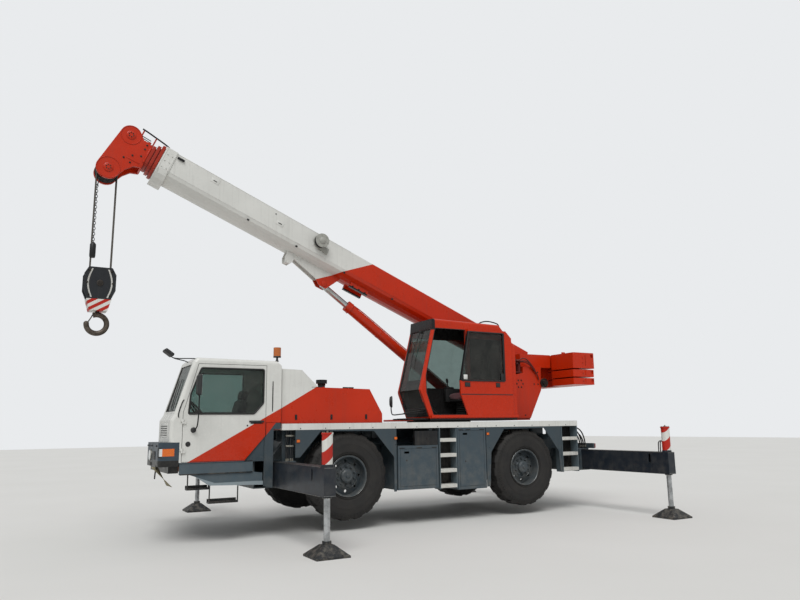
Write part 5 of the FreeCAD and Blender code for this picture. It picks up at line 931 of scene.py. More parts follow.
grey_cloth = seat_cloth("grey_woven_seat_cloth", "#2A2C30", "#4A4D52", "#6B675F")
CAB_SEAT_Y = 0.815
soft_parts = [
    cushion("cab_seat_cushion", "chassis", grey_cloth, (4.450, CAB_SEAT_Y, 1.485), (0.48, 0.44, 0.105), 0.18),
    cushion("cab_seat_back", "chassis", grey_cloth, (4.215, CAB_SEAT_Y, 1.800), (0.50, 0.42, 0.115), 0.18, lean=-1.80),
    cushion("cab_seat_headrest", "chassis", grey_cloth, (4.140, CAB_SEAT_Y, 2.115), (0.14, 0.26, 0.085), 0.2, lean=-1.80, channels=0),
]
bm = bmesh.new()
block(bm, (4.26, 0.655, 1.178), (4.63, 0.975, 1.235), 0.008)
block(bm, (4.30, 0.70, 1.235), (4.60, 0.93, 1.395), 0.02)
for k in range(5):
    block(bm, (4.29, 0.69, 1.25 + 0.028 * k), (4.61, 0.94, 1.262 + 0.028 * k), 0.004)
block(bm, (4.23, 0.615, 1.395), (4.67, 1.015, 1.432), 0.012)
block(bm, (4.17, 0.62, 1.52), (4.20, 1.01, 2.00), 0.01, lean=("Y", -0.22))
soft_parts.append(piece("cab_seat_frame", "chassis", black_plastic, bm))
bm = bmesh.new()
side = [(4.995, 1.565), (5.030, 1.540), (5.155, 1.508), (5.160, 1.600), (5.158, 1.745), (5.120, 1.772), (5.020, 1.755), (4.998, 1.735)]
verts = [[bm.verts.new((x, y, z)) for x, z in side] for y in (0.432, 1.198)]
for k in range(len(side)):
    bm.faces.new((verts[0][k - 1], verts[0][k], verts[1][k], verts[1][k - 1]))
bm.faces.new(verts[0])
bm.faces.new(verts[1])
bmesh.ops.bevel(bm, geom=bm.edges[:], offset=0.008, segments=2, profile=0.5, affect="EDGES")
block(bm, (4.985, 0.66, 1.62), (5.00, 0.97, 1.72), 0.006)
block(bm, (5.02, 0.765, 1.178), (5.09, 0.865, 1.55), 0.012)
for k in range(6):
    block(bm, (4.985, 0.50 + 0.025 * k, 1.66), (4.997, 0.515 + 0.025 * k, 1.69), 0.002)
for y in (0.70, 0.82, 0.93):
    block(bm, (4.86, y - 0.03, 1.178), (4.96, y + 0.03, 1.20), 0.006, lean=("Y", -0.5))
soft_parts.append(piece("cab_dash", "chassis", black_plastic, bm))
bm = bmesh.new()
along = Vector((-250, 0, 200)).normalized()
hub = Vector((4.820, CAB_SEAT_Y, 1.858))
across, upward_rim = Vector((0, 1, 0)), along.cross(Vector((0, 1, 0))).normalized()
turns = 48
ring = [[bm.verts.new(hub + (across * math.cos(2 * math.pi * i / turns) + upward_rim * math.sin(2 * math.pi * i / turns)) *
                      (0.205 + 0.014 * math.cos(2 * math.pi * k / 10)) + along * 0.014 * math.sin(2 * math.pi * k / 10)) for k in range(10)]
        for i in range(turns)]
for i in range(turns):
    for k in range(10):
        bm.faces.new((ring[i - 1][k - 1], ring[i - 1][k], ring[i][k], ring[i][k - 1]))
for a in (0.0, math.pi, -math.pi / 2):
    spoke = across * math.cos(a) + upward_rim * math.sin(a)
    lathe(bm, [(0.03, 0.014), (0.12, 0.011), (0.198, 0.010)], hub, spoke, 10)
lathe(bm, [(-0.02, 0.050), (0.012, 0.050), (0.024, 0.036)], hub, along, 24)
lathe(bm, [(0, 0.024), (0.34, 0.020)], (5.080, CAB_SEAT_Y, 1.650), (-0.25, 0, 0.2), 16)
soft_parts.append(piece("cab_steering_wheel", "chassis", black_plastic, bm))
for part in soft_parts:
    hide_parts("carrier_cab_interior")


# Superstructure: folded and welded plate in orange-red enamel, with a black edge strip under the
# operator's cab, a dark winch motor, dark red valve block and hoses, and a greased winch rope.
motor_dark = ("#23211F", [((0, -1, 0), -0.622), ((1, 0, 0), -2.0), ((0, 0, -1), -2.28), ((0, 0, 1), 2.61)])
edge_strip = (BLACK_PAINT, [((0, 0, 1), 1.7425), ((0, -1, 0), -0.60)])
turntable_enamel = enamel("turntable_enamel", CRANE_RED, areas=[motor_dark, edge_strip], gloss=0.35, dust=0.45, chips=0.45, low_dirt=0.0)
finish_nodes(turntable_enamel, "turntable")
crane_enamel = enamel("orange_red_crane_enamel", CRANE_RED, gloss=0.33, dust=0.35, chips=0.4, low_dirt=0.0)
finish_nodes(crane_enamel, "counterweight")
wound_rope = moulded_rubber("greased_steel_rope", "#4A4640", "#6A655C", "#8A8579", rough=0.55)
finish_nodes(axle_paint, "winch")

valve_red = enamel("dark_red_valve_enamel", "#5E1710", gloss=0.4, dust=0.6, chips=0.6, low_dirt=0.0)
bm = bmesh.new()
for x, z, w, h in ((-1.55, 2.86, 0.10, 0.10), (-1.43, 2.90, 0.12, 0.14), (-1.36, 3.03, 0.07, 0.12)):
    block(bm, (x - w / 2, 0.345, z - h / 2), (x + w / 2, 0.60, z + h / 2), 0.008)
for k in range(5):
    lathe(bm, [(0, 0.019), (0.03, 0.019), (0.032, 0.014), (0.05, 0.014)], (-1.56 + 0.045 * k, 0.60, 2.855 + 0.012 * k), (0, 1, 0), 10)
block(bm, (-1.62, 0.335, 2.64), (-1.34, 0.62, 2.665), 0.004)
block(bm, (-1.60, 0.345, 2.665), (-1.55, 0.60, 2.86), 0.005)
piece("valve_block", "superstructure", valve_red, bm)
VALVE_PIPES = [(-1.56, 2.855, -1.80, 2.80, -2.02, 2.50), (-1.515, 2.867, -1.76, 2.86, -1.95, 2.62), (-1.47, 2.879, -1.70, 2.93, -1.90, 2.68)]
pipe("valve_steel_pipes", "superstructure", valve_red,
     [[(x, 0.62, z), (x, 0.655, z), (x - 0.05, 0.67, z), ((x + mx) / 2, 0.672, (z + mz) / 2 + 0.02), (mx, 0.665, mz), (ex, 0.652, ez + 0.08), (ex, 0.640, ez)]
      for x, z, mx, mz, ex, ez in VALVE_PIPES], 0.012)

bm = bmesh.new()
for i in range(10):
    a = 2 * math.pi * (i + 0.5) / 10
    bolt(bm, (-2.165 + 0.104 * math.cos(a), 0.399, 2.446 + 0.104 * math.sin(a)), (0, 1, 0), 0.018)
for i in range(6):
    a = 2 * math.pi * (i + 0.5) / 6
    bolt(bm, (-2.165 + 0.076 * math.cos(a), 0.659, 2.446 + 0.076 * math.sin(a)), (0, 1, 0), 0.018)
lathe(bm, [(0, 0.022), (0.02, 0.022), (0.022, 0.016), (0.04, 0.016)], (-2.165, 0.690, 2.446), (0, 1, 0), 16)
for hand in (1, -1):
    for i in range(6):
        a = 2 * math.pi * i / 6
        bolt(bm, (-1.55 + 0.078 * math.cos(a), hand * 0.621, 2.42 + 0.078 * math.sin(a)), (0, hand, 0), 0.022)
    for x, z in ((-2.02, 2.42), (-1.92, 2.42), (-2.02, 2.66), (-1.12, 1.80), (-1.12, 2.20), (-1.66, 1.80)):
        bolt(bm, (x, hand * 0.620, z), (0, hand, 0), 0.02)
piece("motor_and_plate_bolts", "superstructure", dark_steel, bm)

bm = bmesh.new()
for k in range(21):
    y = -0.190 + 0.019 * k
    lathe(bm, [(-0.0085, 0.163), (-0.005, 0.1705), (0, 0.1735), (0.005, 0.1705), (0.0085, 0.163)], (-1.690, y, 1.985), (0, 1, 0), 48)
piece("winch_windings", "superstructure", wound_rope, bm)

# Counterweight: three cast slabs; lifting eyes and strap bolts, recess plates and the seams between
bm = bmesh.new()
for y in (-0.80, 0.80):
    for x in (-2.90, -2.58):
        block(bm, (x - 0.045, y - 0.012, 3.028), (x + 0.045, y + 0.012, 3.075), 0.008)
    block(bm, (-2.97, y - 0.06, 3.027), (-2.50, y + 0.06, 3.034), 0.003)
for y in (-0.62, 0.62):
    for x in (-2.93, -2.80, -2.62):
        bolt(bm, (x, y, 3.029), (0, 0, 1), 0.03)
for hand in (1, -1):
    for z0, z1 in ((2.425, 2.505), (2.58, 2.67), (2.76, 2.99)):
        block(bm, (-2.78, hand * 1.214 - 0.006, z0), (-2.765, hand * 1.214 + 0.006, z1), 0.003)
    for z in (2.465, 2.625, 2.83, 2.93):
        bolt(bm, (-2.70, hand * (1.219 if z > 2.7 else 1.209), z), (0, hand, 0), 0.026)
piece("counterweight_fittings", "superstructure", crane_enamel, bm)


# Operator's cab: red pressed steel with a black header over the windscreen, partly a black visor and partly
# painted shade, tinted glass in black seals, a sliding door that is black round its window, and black trim.
# The black on the header over the windscreen is partly a black visor and partly painted shade on the cab's front faces.
header_black_and_painted_shade = (BLACK_PAINT, [((-1, 0, 0), -0.80), ((0, 0, -1), -3.300)])
front_frame = (BLACK_PAINT, [((-1, 0, 0.0), -0.865), ((0, 0, 1), 1.84), ((0, -1, 0), -0.40)])
inside_dark = ("#2B2A2A", [((0, -1, 0), -0.405), ((0, 1, 0), 1.170), ((0, 0, 1), 3.480), ((0, 0, -1), -1.77), ((-1, 0, 0), 0.955), ((1, 0, 0.26), 1.57)])
finish_nodes(enamel("operator_cab_enamel", CRANE_RED, areas=[inside_dark, header_black_and_painted_shade], gloss=0.27, dust=0.2, chips=0.25, low_dirt=0.0),
             "operator_cab")
door_black = (BLACK_PAINT, [((0, 0, -1), -2.408), ((0, 0, 1), 3.31), ((0, -1, 0), -1.2), ((-1, 0, 0), 0.705)])
finish_nodes(enamel("operator_door_enamel", CRANE_RED, areas=[door_black], gloss=0.26, dust=0.2, chips=0.3, low_dirt=0.0), "operator_door")
# The operator's glass takes a little painted shade: shade=0.06 mixes a flat dark layer over the pane.
finish_nodes(laminated_glass("tinted_operator_glass", "#B3BFBC", shade=0.06), "operator_cab_glass", "operator_door_glass")

OP_DOOR_WINDOW = [(-0.675, 2.410), (0.292, 2.410), (0.108, 3.300), (-0.675, 3.300)]
pipe("operator_door_seal", "operator_door", seal_rubber, [cornered([(x, 1.252, z) for x, z in OP_DOOR_WINDOW], 0.035)], 0.013, closed=True)
OP_INNER_WINDOW = [(-0.5, 2.3), (0.93, 2.3), (0.79, 3.25), (-0.5, 3.25)]
pipe("operator_inner_seal", "superstructure", seal_rubber, [cornered([(x, 0.370, z) for x, z in OP_INNER_WINDOW], 0.045)], 0.013, closed=True)
pipe("operator_rear_seal", "superstructure", seal_rubber,
     [cornered([(-0.987, 0.492, 2.45), (-0.987, 1.085, 2.45), (-0.987, 1.085, 3.025), (-0.987, 0.492, 3.025)], 0.045)], 0.012, closed=True)
pipe("operator_screen_seal", "superstructure", seal_rubber,
     [cornered([(0.986, 0.440, 1.905), (1.106, 0.440, 2.240), (1.058, 0.440, 2.456), (0.838, 0.440, 3.325),
                (0.838, 1.137, 3.325), (1.058, 1.137, 2.456), (1.106, 1.137, 2.240), (0.986, 1.137, 1.905)], 0.04)], 0.014, closed=True)
DOORWAY = [(0.150, 1.806), (0.868, 1.806), (1.004, 2.194), (1.009, 2.489), (0.800, 3.333), (0.150, 3.333)]
pipe("doorway_seal", "superstructure", seal_rubber, [cornered([(x, 1.2045, z) for x, z in DOORWAY], 0.03)], 0.006, closed=True)

bm = bmesh.new()
block(bm, (0.105, 1.2465, 2.300), (0.220, 1.2555, 2.372), 0.004)
block(bm, (-0.565, 1.2465, 2.300), (-0.478, 1.2555, 2.372), 0.004)
block(bm, (-0.86, 1.244, 2.155), (0.305, 1.2525, 2.170), 0.002)
block(bm, (-0.668, 1.247, 2.425), (-0.60, 1.2525, 2.55), 0.001)
piece("operator_door_trim", "operator_door", black_plastic, bm)
bm = bmesh.new()
block(bm, (0.16, 1.2495, 2.430), (0.245, 1.2520, 2.515), 0.001)
piece("blank_door_label", "operator_door", enamel("white_label", "#DADAD6", gloss=0.3, dust=0.2, chips=0.0, low_dirt=0.0), bm)

bm = bmesh.new()
lathe(bm, [(-0.02, 0.020), (0.014, 0.020), (0.020, 0.012)], (0.862, 0.80, 3.300), (1, 0, 0.25), 14)
wipe = Vector((0.22, -0.16, -0.85)).normalized()
lathe(bm, [(0, 0.008), (0.46, 0.005)], (0.880, 0.80, 3.285), wipe, 8)
lathe(bm, [(-0.26, 0.006), (0.26, 0.006)], Vector((0.880, 0.80, 3.285)) + wipe * 0.46, Vector((0.22, 0.05, -0.87)), 6)
piece("operator_screen_wiper", "superstructure", black_plastic, bm)
pipe("roof_rail", "superstructure", black_enamel,
     [[(-0.368, 0.90, 3.505), (-0.40, 0.90, 3.545), (-0.583, 0.90, 3.588), (-0.78, 0.90, 3.560), (-0.869, 0.90, 3.527), (-0.90, 0.90, 3.35)]], 0.012)
bm = bmesh.new()
block(bm, (0.925, 0.62, 1.7200), (1.36, 1.16, 1.7445), 0.004)
for k in range(9):
    block(bm, (0.97 + 0.04 * k, 0.66, 1.7435), (0.982 + 0.04 * k, 1.12, 1.7485), 0.001)
piece("front_foot_plate", "superstructure", black_enamel, bm)
pipe("operator_mirror_arms", "superstructure", black_enamel,
     [[(0.945, 1.10, 1.84), (1.05, 1.10, 1.835), (1.30, 1.10, 1.825), (1.45, 1.10, 1.82), (1.60, 1.10, 1.80), (1.655, 1.10, 1.82), (1.655, 1.10, 1.95)],
      [(0.955, 1.10, 1.885), (1.10, 1.10, 1.870), (1.30, 1.10, 1.850), (1.41, 1.10, 1.828)]], 0.010)
bm = bmesh.new()
lathe(bm, [(-0.028, 0.045), (-0.02, 0.074), (0.0, 0.086), (0.018, 0.088), (0.024, 0.082)], (1.655, 1.10, 2.025), (-0.5, 0.3, 0), 28)
for vert in bm.verts:
    vert.co.z = 2.025 + (vert.co.z - 2.025) * 1.10
piece("operator_mirror", "superstructure", black_plastic, bm)

# Operator's seat: dark red woven cushions, black consoles with levers, pedals and a grey floor mat
red_cloth = seat_cloth("dark_red_woven_seat_cloth", "#571723", "#7A2A35", "#6E4F4B")
OP_SEAT_Y = 0.7885
OP_SEAT_X = -0.38
op_parts = [
    cushion("operator_seat_cushion", "superstructure", red_cloth, (OP_SEAT_X + 0.255, OP_SEAT_Y, 2.150), (0.49, 0.45, 0.11), 0.18),
    cushion("operator_seat_back", "superstructure", red_cloth, (OP_SEAT_X - 0.005, OP_SEAT_Y, 2.520), (0.64, 0.43, 0.12), 0.18, lean=-1.77),
    cushion("operator_headrest", "superstructure", red_cloth, (OP_SEAT_X - 0.09, OP_SEAT_Y, 2.905), (0.13, 0.25, 0.09), 0.2, lean=-1.77, channels=0),
]
bm = bmesh.new()
block(bm, (-0.30, OP_SEAT_Y - 0.15, 1.783), (0.04, OP_SEAT_Y + 0.15, 1.83), 0.01)
for k in range(6):
    block(bm, (-0.28, OP_SEAT_Y - 0.14, 1.835 + 0.036 * k), (0.02, OP_SEAT_Y + 0.14, 1.860 + 0.036 * k), 0.008)
block(bm, (-0.37, OP_SEAT_Y - 0.21, 2.055), (0.10, OP_SEAT_Y + 0.21, 2.090), 0.012)
for hand in (1, -1):
    y = OP_SEAT_Y + 0.28 * hand
    block(bm, (-0.28, y - 0.042, 2.050), (0.17, y + 0.042, 2.300), 0.018)
    block(bm, (-0.02, y - 0.036, 2.298), (0.165, y + 0.036, 2.325), 0.010)
    lathe(bm, [(0, 0.026), (0.015, 0.024), (0.04, 0.012), (0.09, 0.010), (0.095, 0.020), (0.135, 0.025), (0.165, 0.021), (0.178, 0.010)],
          (0.10, y, 2.318), (0.12, 0, 1), 14)
    for k in range(3):
        lathe(bm, [(0, 0.008), (0.014, 0.008), (0.016, 0.006)], (0.0 + 0.03 * k, y + 0.018, 2.322), (0, 0, 1), 10)
op_parts.append(piece("operator_consoles", "superstructure", black_plastic, bm))
bm = bmesh.new()
for y in (OP_SEAT_Y - 0.11, OP_SEAT_Y, OP_SEAT_Y + 0.11):
    block(bm, (0.60, y - 0.035, 1.86), (0.76, y + 0.035, 1.885), 0.006, lean=("Y", -0.6))
    lathe(bm, [(0, 0.012), (0.11, 0.012)], (0.72, y, 1.785), (-0.2, 0, 1), 10)
    for k in range(4):
        block(bm, (0.62 + 0.03 * k, y - 0.03, 1.865 + 0.02 * k), (0.63 + 0.03 * k, y + 0.03, 1.883 + 0.02 * k), 0.002)
op_parts.append(piece("operator_pedals", "superstructure", dark_steel, bm))
for part in op_parts:
    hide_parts("operator_seat")
mat_rubber = moulded_rubber("light_grey_floor_mat", "#8D8D8A", "#9B9A95", "#A8A39A", rough=0.7)
bm = bmesh.new()
curve = [(0.12, 0.44), (0.12, 1.14)] + [(0.55 + 0.28 * math.sin(a), 1.14 - 0.70 * (1 - math.cos(a)) / 2) for a in [math.pi * k / 12 for k in range(13)]]
floor_pts = [bm.verts.new((x, y, 1.7845)) for x, y in curve]
roof_pts = [bm.verts.new((x, y, 1.7905)) for x, y in curve]
bm.faces.new(floor_pts)
bm.faces.new(roof_pts)
for k in range(len(curve)):
    bm.faces.new((floor_pts[k - 1], floor_pts[k], roof_pts[k], roof_pts[k - 1]))
piece("operator_floor_mat", "superstructure", mat_rubber, bm)
bm = bmesh.new()
block(bm, (0.925, 0.46, 1.805), (0.935, 1.12, 2.40), 0.003, lean=("Y", 0.10))
block(bm, (0.915, 0.50, 2.395), (0.985, 1.09, 2.425), 0.010)
piece("screen_kick_panel", "superstructure", enamel("dark_kick_panel_enamel", "#3A1412", gloss=0.45, dust=0.4, chips=0.3, low_dirt=0.0), bm)


# Luffing cylinder and boom: the barrel in crane enamel round a hard chromed rod; box sections in
# red enamel with an off-white front. Bolts, seams, brackets and the cable drum's windings.
BOOM_COS = math.cos(math.radians(22.5))
BOOM_SIN = math.sin(math.radians(22.5))
PIVOT = Vector((-1.55, 0, 2.42))


def on_boom(u, y, w):
    """A point in boom coordinates: u along the boom and w up from its pivot line."""
    return Vector((PIVOT.x + u * BOOM_COS - w * BOOM_SIN, y, PIVOT.z + u * BOOM_SIN + w * BOOM_COS))


def boom_plane(u, w, limit):
    """A border u * U + w * W < limit in boom coordinates, as a row-frame plane."""
    normal = (u * BOOM_COS - w * BOOM_SIN, 0, u * BOOM_SIN + w * BOOM_COS)
    return normal, limit + normal[0] * PIVOT.x + normal[2] * PIVOT.z


def boom_block(bm, low, high, edge=0.003):
    """A block between two corners given in boom coordinates (u, y, w)."""
    part = bmesh.new()
    block(part, low, high, edge)
    for vert in part.verts:
        vert.co = on_boom(*vert.co)
    held = bpy.data.meshes.new("held")
    part.to_mesh(held)
    bm.from_mesh(held)
    part.free()
    bpy.data.meshes.remove(held)


ALONG = Vector((BOOM_COS, 0, BOOM_SIN))
UPWARD = Vector((-BOOM_SIN, 0, BOOM_COS))
section_enamel = enamel("dark_red_section_enamel", "#A32A14", gloss=0.42, dust=0.7, chips=0.6, low_dirt=0.0)
finish_nodes(section_enamel, "boom_section_2", "boom_section_3", "boom_section_4")
finish_nodes(crane_enamel, "boom_head", "luffing_barrel")
chrome = bare_metal("hard_chrome", "#C9CCCE", "#A9A89F", 0.1)
finish_nodes(chrome, "luffing_rod")
white_front = (OFF_WHITE, [boom_plane(-1, -1.16, -(3.73 + 1.16 * 0.83))])
drum_grey = ("#A3A39C", [((0, -1, 0), -0.2725), boom_plane(1, 0, 4.97), boom_plane(-1, 0, -4.63), boom_plane(0, 1, 0.86), boom_plane(0, -1, -0.52)])
rest_black = (BLACK_PAINT, [boom_plane(0, 1, 0.290), boom_plane(1, 0, 4.0), boom_plane(-1, 0, -3.5)])
finish_nodes(enamel("boom_enamel", CRANE_RED, areas=[white_front, drum_grey, rest_black], gloss=0.30, dust=0.35, chips=0.3, low_dirt=0.0),
             "boom_base")

bm = bmesh.new()
for k in range(6):
    at = on_boom(4.83, 0.312 + 0.018 * k, 0.70)
    lathe(bm, [(-0.008, 0.092), (-0.005, 0.1115), (0, 0.114), (0.005, 0.1115), (0.008, 0.092)], at, (0, 1, 0), 32)
piece("drum_windings", "boom", hose_rubber, bm)
drum_paint = enamel("grey_drum_enamel", "#A3A39C", gloss=0.4, dust=0.4, chips=0.4, low_dirt=0.0)
bm = bmesh.new()
lathe(bm, [(0, 0.062), (0.012, 0.062), (0.018, 0.045), (0.03, 0.024)], on_boom(4.83, 0.418, 0.70), (0, 1, 0), 28)
for k in range(6):
    a = 2 * math.pi * k / 6
    bolt(bm, on_boom(4.83 + 0.105 * math.cos(a), 0.419, 0.70 + 0.105 * math.sin(a)), (0, 1, 0), 0.016)
boom_block(bm, (4.62, 0.270, 0.545), (4.70, 0.300, 0.66), 0.004)
piece("drum_cap", "boom", drum_paint, bm)

bm = bmesh.new()
boom_block(bm, (7.50, 0.268, 0.755), (7.62, 0.300, 0.790), 0.005)
boom_block(bm, (5.17, 0.268, 0.395), (5.21, 0.288, 0.425), 0.004)
boom_block(bm, (5.585, 0.270, 0.630), (5.655, 0.2745, 0.650), 0.002)
boom_block(bm, (5.745, 0.270, 0.755), (5.765, 0.2755, 0.775), 0.002)
boom_block(bm, (6.885, 0.270, 0.732), (6.955, 0.2745, 0.748), 0.002)
boom_block(bm, (4.16, 0.268, 0.395), (4.20, 0.288, 0.425), 0.004)
for u in (6.15, 3.10):
    boom_block(bm, (u - 0.02, 0.268, 0.395), (u + 0.02, 0.288, 0.425), 0.004)
for hand in (1, -1):
    for u in (3.62, 3.755, 3.89):
        bolt(bm, on_boom(u, hand * 0.171, 0.296), (0, hand, 0), 0.022)
piece("boom_brackets", "boom", black_enamel, bm)

bm = bmesh.new()
for hand in (1, -1):
    boom_block(bm, (4.60, hand * 0.2705 - 0.002, 0.4725), (7.63, hand * 0.2705 + 0.002, 0.4785), 0.001)
    boom_block(bm, (4.20, hand * 0.2705 - 0.002, 0.834), (7.63, hand * 0.2705 + 0.002, 0.838), 0.001)
for hand in (1, -1):
    for u in (7.660, 7.818):
        boom_block(bm, (u - 0.006, hand * 0.282 - 0.004, 0.40), (u + 0.006, hand * 0.282 + 0.004, 0.835), 0.002)
for u in (7.660, 7.818):
    boom_block(bm, (u - 0.006, -0.26, 0.858), (u + 0.006, 0.26, 0.866), 0.002)
for hand in (1, -1):
    for k in range(3):
        bolt(bm, on_boom(4.98 + 0.06 * k, hand * 0.0875, 0.285), (0, hand, 0), 0.018)
for u0, w0, w1 in ((4.86, 0.60, 0.64), (5.62, 0.62, 0.66), (6.92, 0.72, 0.76)):
    boom_block(bm, (u0 - 0.075, 0.2695, w0 - 0.02), (u0 + 0.075, 0.2735, w1 + 0.02), 0.002)
for u in (7.70, 7.78):
    for y in (-0.2, -0.07, 0.07, 0.2):
        bolt(bm, on_boom(u, y, 0.861), UPWARD, 0.018)
    for w in (0.50, 0.62, 0.74):
        for hand in (1, -1):
            bolt(bm, on_boom(u, hand * 0.2815, w), (0, hand, 0), 0.018)
piece("boom_seams_white", "boom", enamel("off_white_boom_enamel", OFF_WHITE, gloss=0.32, dust=0.4, chips=0.4, low_dirt=0.0), bm)
bm = bmesh.new()
for hand in (1, -1):
    boom_block(bm, (0.0, hand * 0.2705 - 0.002, 0.4725), (3.70, hand * 0.2705 + 0.002, 0.4785), 0.001)
    lathe(bm, [(0, 0.085), (0.012, 0.085), (0.016, 0.075)], on_boom(0, hand * 0.371, 0), (0, hand, 0), 32)
    for k in range(6):
        a = 2 * math.pi * k / 6
        bolt(bm, on_boom(0.06 * math.cos(a), hand * 0.385, 0.06 * math.sin(a)), (0, hand, 0), 0.018)
    lathe(bm, [(-0.005, 0.050), (0.010, 0.050), (0.014, 0.042)], on_boom(4.400, hand * 0.088, 0.098), (0, hand, 0), 24)
piece("boom_seams_red", "boom", crane_enamel, bm)

for name, body, inset, front in (("section_2", "section_2", 0.018, 7.90), ("section_3", "section_3", 0.050, 7.965)):
    bm = bmesh.new()
    for y in (-0.17, -0.06, 0.06, 0.17):
        bolt(bm, on_boom(front - 0.001, y, 0.85 - inset + 0.008), ALONG, 0.012)
    for w in (0.52, 0.64, 0.76):
        for hand in (1, -1):
            bolt(bm, on_boom(front - 0.001, hand * (0.27 - inset + 0.008), w), ALONG, 0.012)
    piece(name + "_collar_bolts", body, dark_steel, bm)

# Luffing cylinder: a collar of cap screws, two grease nipples and steel pipes along the barrel
FOOT = Vector((-0.780, 0, 1.860))
EYE = Vector((2.4776, 0, 4.1943))
STROKE = (EYE - FOOT).normalized()
OVER = Vector((-STROKE.z, 0, STROKE.x))
bm = bmesh.new()
for k in range(12):
    a = 2 * math.pi * k / 12
    ray = OVER * math.cos(a) + Vector((0, 1, 0)) * math.sin(a)
    bolt(bm, FOOT + STROKE * 3.399 + ray * 0.085, STROKE, 0.014)
lathe(bm, [(3.300, 0.1045), (3.302, 0.108), (3.318, 0.108), (3.320, 0.1045)], FOOT, STROKE, 48)
for d in (0.55, 1.55, 2.55):
    lathe(bm, [(d, 0.0925), (d + 0.002, 0.0965), (d + 0.035, 0.0965), (d + 0.037, 0.0925)], FOOT, STROKE, 40)
piece("barrel_fittings", "luff_barrel", crane_enamel, bm)
pipe("barrel_steel_pipes", "luff_barrel", crane_enamel,
     [[FOOT + STROKE * 0.30 + OVER * 0.098 + Vector((0, y, 0)), FOOT + STROKE * 1.2 + OVER * 0.106 + Vector((0, y, 0)),
       FOOT + STROKE * 2.4 + OVER * 0.106 + Vector((0, y, 0)), FOOT + STROKE * 3.22 + OVER * 0.106 + Vector((0, y, 0)),
       FOOT + STROKE * 3.30 + OVER * 0.085 + Vector((0, y, 0))] for y in (-0.025, 0.025)], 0.009)

# Boom head: red cheeks that join two round sheave housings, a box neck, dark upper sheaves, the
# rope over them and down to the falls, and a dark guard rail along the top
HEAD_HALF = 0.178
CHEEK_T = 0.034
UPPER = (8.405, 0.765, 0.165)
LOWER = (8.460, 0.085, 0.185)


def arc(circle, start_deg, end_deg, steps):
    """Points on a (u, w, radius) circle, from one angle to another, measured from the boom's own line."""
    angles = [math.radians(start_deg + (end_deg - start_deg) * k / steps) for k in range(steps + 1)]
    return [(circle[0] + circle[2] * math.cos(a), circle[1] + circle[2] * math.sin(a)) for a in angles]


cheek_line = (arc(UPPER, 140, 5, 18) + arc(LOWER, -2, -150, 20) + [(8.235, 0.185), (8.150, 0.300), (8.045, 0.345), (8.033, 0.345), (8.033, 0.758),
                                                                 (8.120, 0.800), (8.200, 0.790)])
bm = bmesh.new()
for hand in (1, -1):
    faces = [[bm.verts.new(on_boom(u, hand * y, w)) for u, w in cheek_line] for y in (HEAD_HALF - CHEEK_T, HEAD_HALF)]
    bm.faces.new(faces[0])
    bm.faces.new(faces[1])
    for k in range(len(cheek_line)):
        bm.faces.new((faces[0][k - 1], faces[0][k], faces[1][k], faces[1][k - 1]))
rims = [e for e in bm.edges if abs(e.verts[0].co.y - e.verts[1].co.y) < 1e-6 and abs(e.verts[0].co.y) > HEAD_HALF - 0.001]
bmesh.ops.bevel(bm, geom=rims, offset=0.004, segments=2, profile=0.5, affect="EDGES")
for hand in (1, -1):
    for u, w, r in (UPPER, LOWER):
        lathe(bm, [(0, 0.072), (0.012, 0.072), (0.016, 0.066), (0.016, 0.052), (0.020, 0.048), (0.020, 0.02)],
              on_boom(u, hand * HEAD_HALF, w), (0, hand, 0), 32)
        ring = [(0.0, r - 0.014), (0.007, r - 0.014), (0.007, r - 0.004), (0.0, r - 0.004), (0.0, r - 0.014)]
        lathe(bm, ring, on_boom(u, hand * HEAD_HALF, w), (0, hand, 0), 48)
boom_block(bm, (8.027, -0.144, 0.345), (8.060, 0.144, 0.752), 0.003)
boom_block(bm, (8.060, -0.145, 0.400), (8.230, 0.145, 0.440), 0.003)
boom_block(bm, (8.060, -0.145, 0.735), (8.180, 0.145, 0.760), 0.003)
boom_block(bm, (7.95, -0.165, 0.430), (8.030, 0.165, 0.757), 0.003)
for hand in (1, -1):
    boom_block(bm, (8.035, hand * 0.184 - 0.008, 0.44), (8.060, hand * 0.184 + 0.008, 0.72), 0.003)
    boom_block(bm, (8.090, hand * 0.182 - 0.005, 0.38), (8.300, hand * 0.182 + 0.005, 0.395), 0.003)
cheeks = piece("head_cheeks", "boom_tip", crane_enamel, bm)
dark_sheave = enamel("dark_sheave_paint", "#2A2A29", gloss=0.5, dust=0.4, chips=0.8, low_dirt=0.0)
bm = bmesh.new()
for y in (-0.070, 0.0, 0.070):
    groove = [(-0.024, 0.150), (-0.018, 0.150), (-0.010, 0.124), (0.010, 0.124), (0.018, 0.150), (0.024, 0.150), (0.024, 0.04), (-0.024, 0.04), (-0.024, 0.150)]
    lathe(bm, groove, on_boom(UPPER[0], y, UPPER[1]), (0, 1, 0), 44)
lathe(bm, [(-0.150, 0.042), (0.150, 0.042)], on_boom(UPPER[0], 0, UPPER[1]), (0, 1, 0), 24)
lathe(bm, [(-0.150, 0.033), (0.150, 0.033)], on_boom(LOWER[0], 0, LOWER[1]), (0, 1, 0), 24)
sheaves = piece("head_upper_sheaves", "boom_tip", dark_sheave, bm)
bm = bmesh.new()
for hand in (1, -1):
    for u, w, r in (UPPER, LOWER):
        for k in range(6):
            a = 2 * math.pi * k / 6
            bolt(bm, on_boom(u + 0.036 * math.cos(a), hand * (HEAD_HALF + 0.020), w + 0.036 * math.sin(a)), (0, hand, 0), 0.014)
    for u, w in ((8.12, 0.52), (8.12, 0.66), (8.12, 0.74), (8.24, 0.46), (8.34, 0.36), (8.22, 0.33)):
        bolt(bm, on_boom(u, hand * (HEAD_HALF + 0.0005), w), (0, hand, 0), 0.022)
head_bolts = piece("head_bolts", "boom_tip", dark_steel, bm)
rope_runs = []
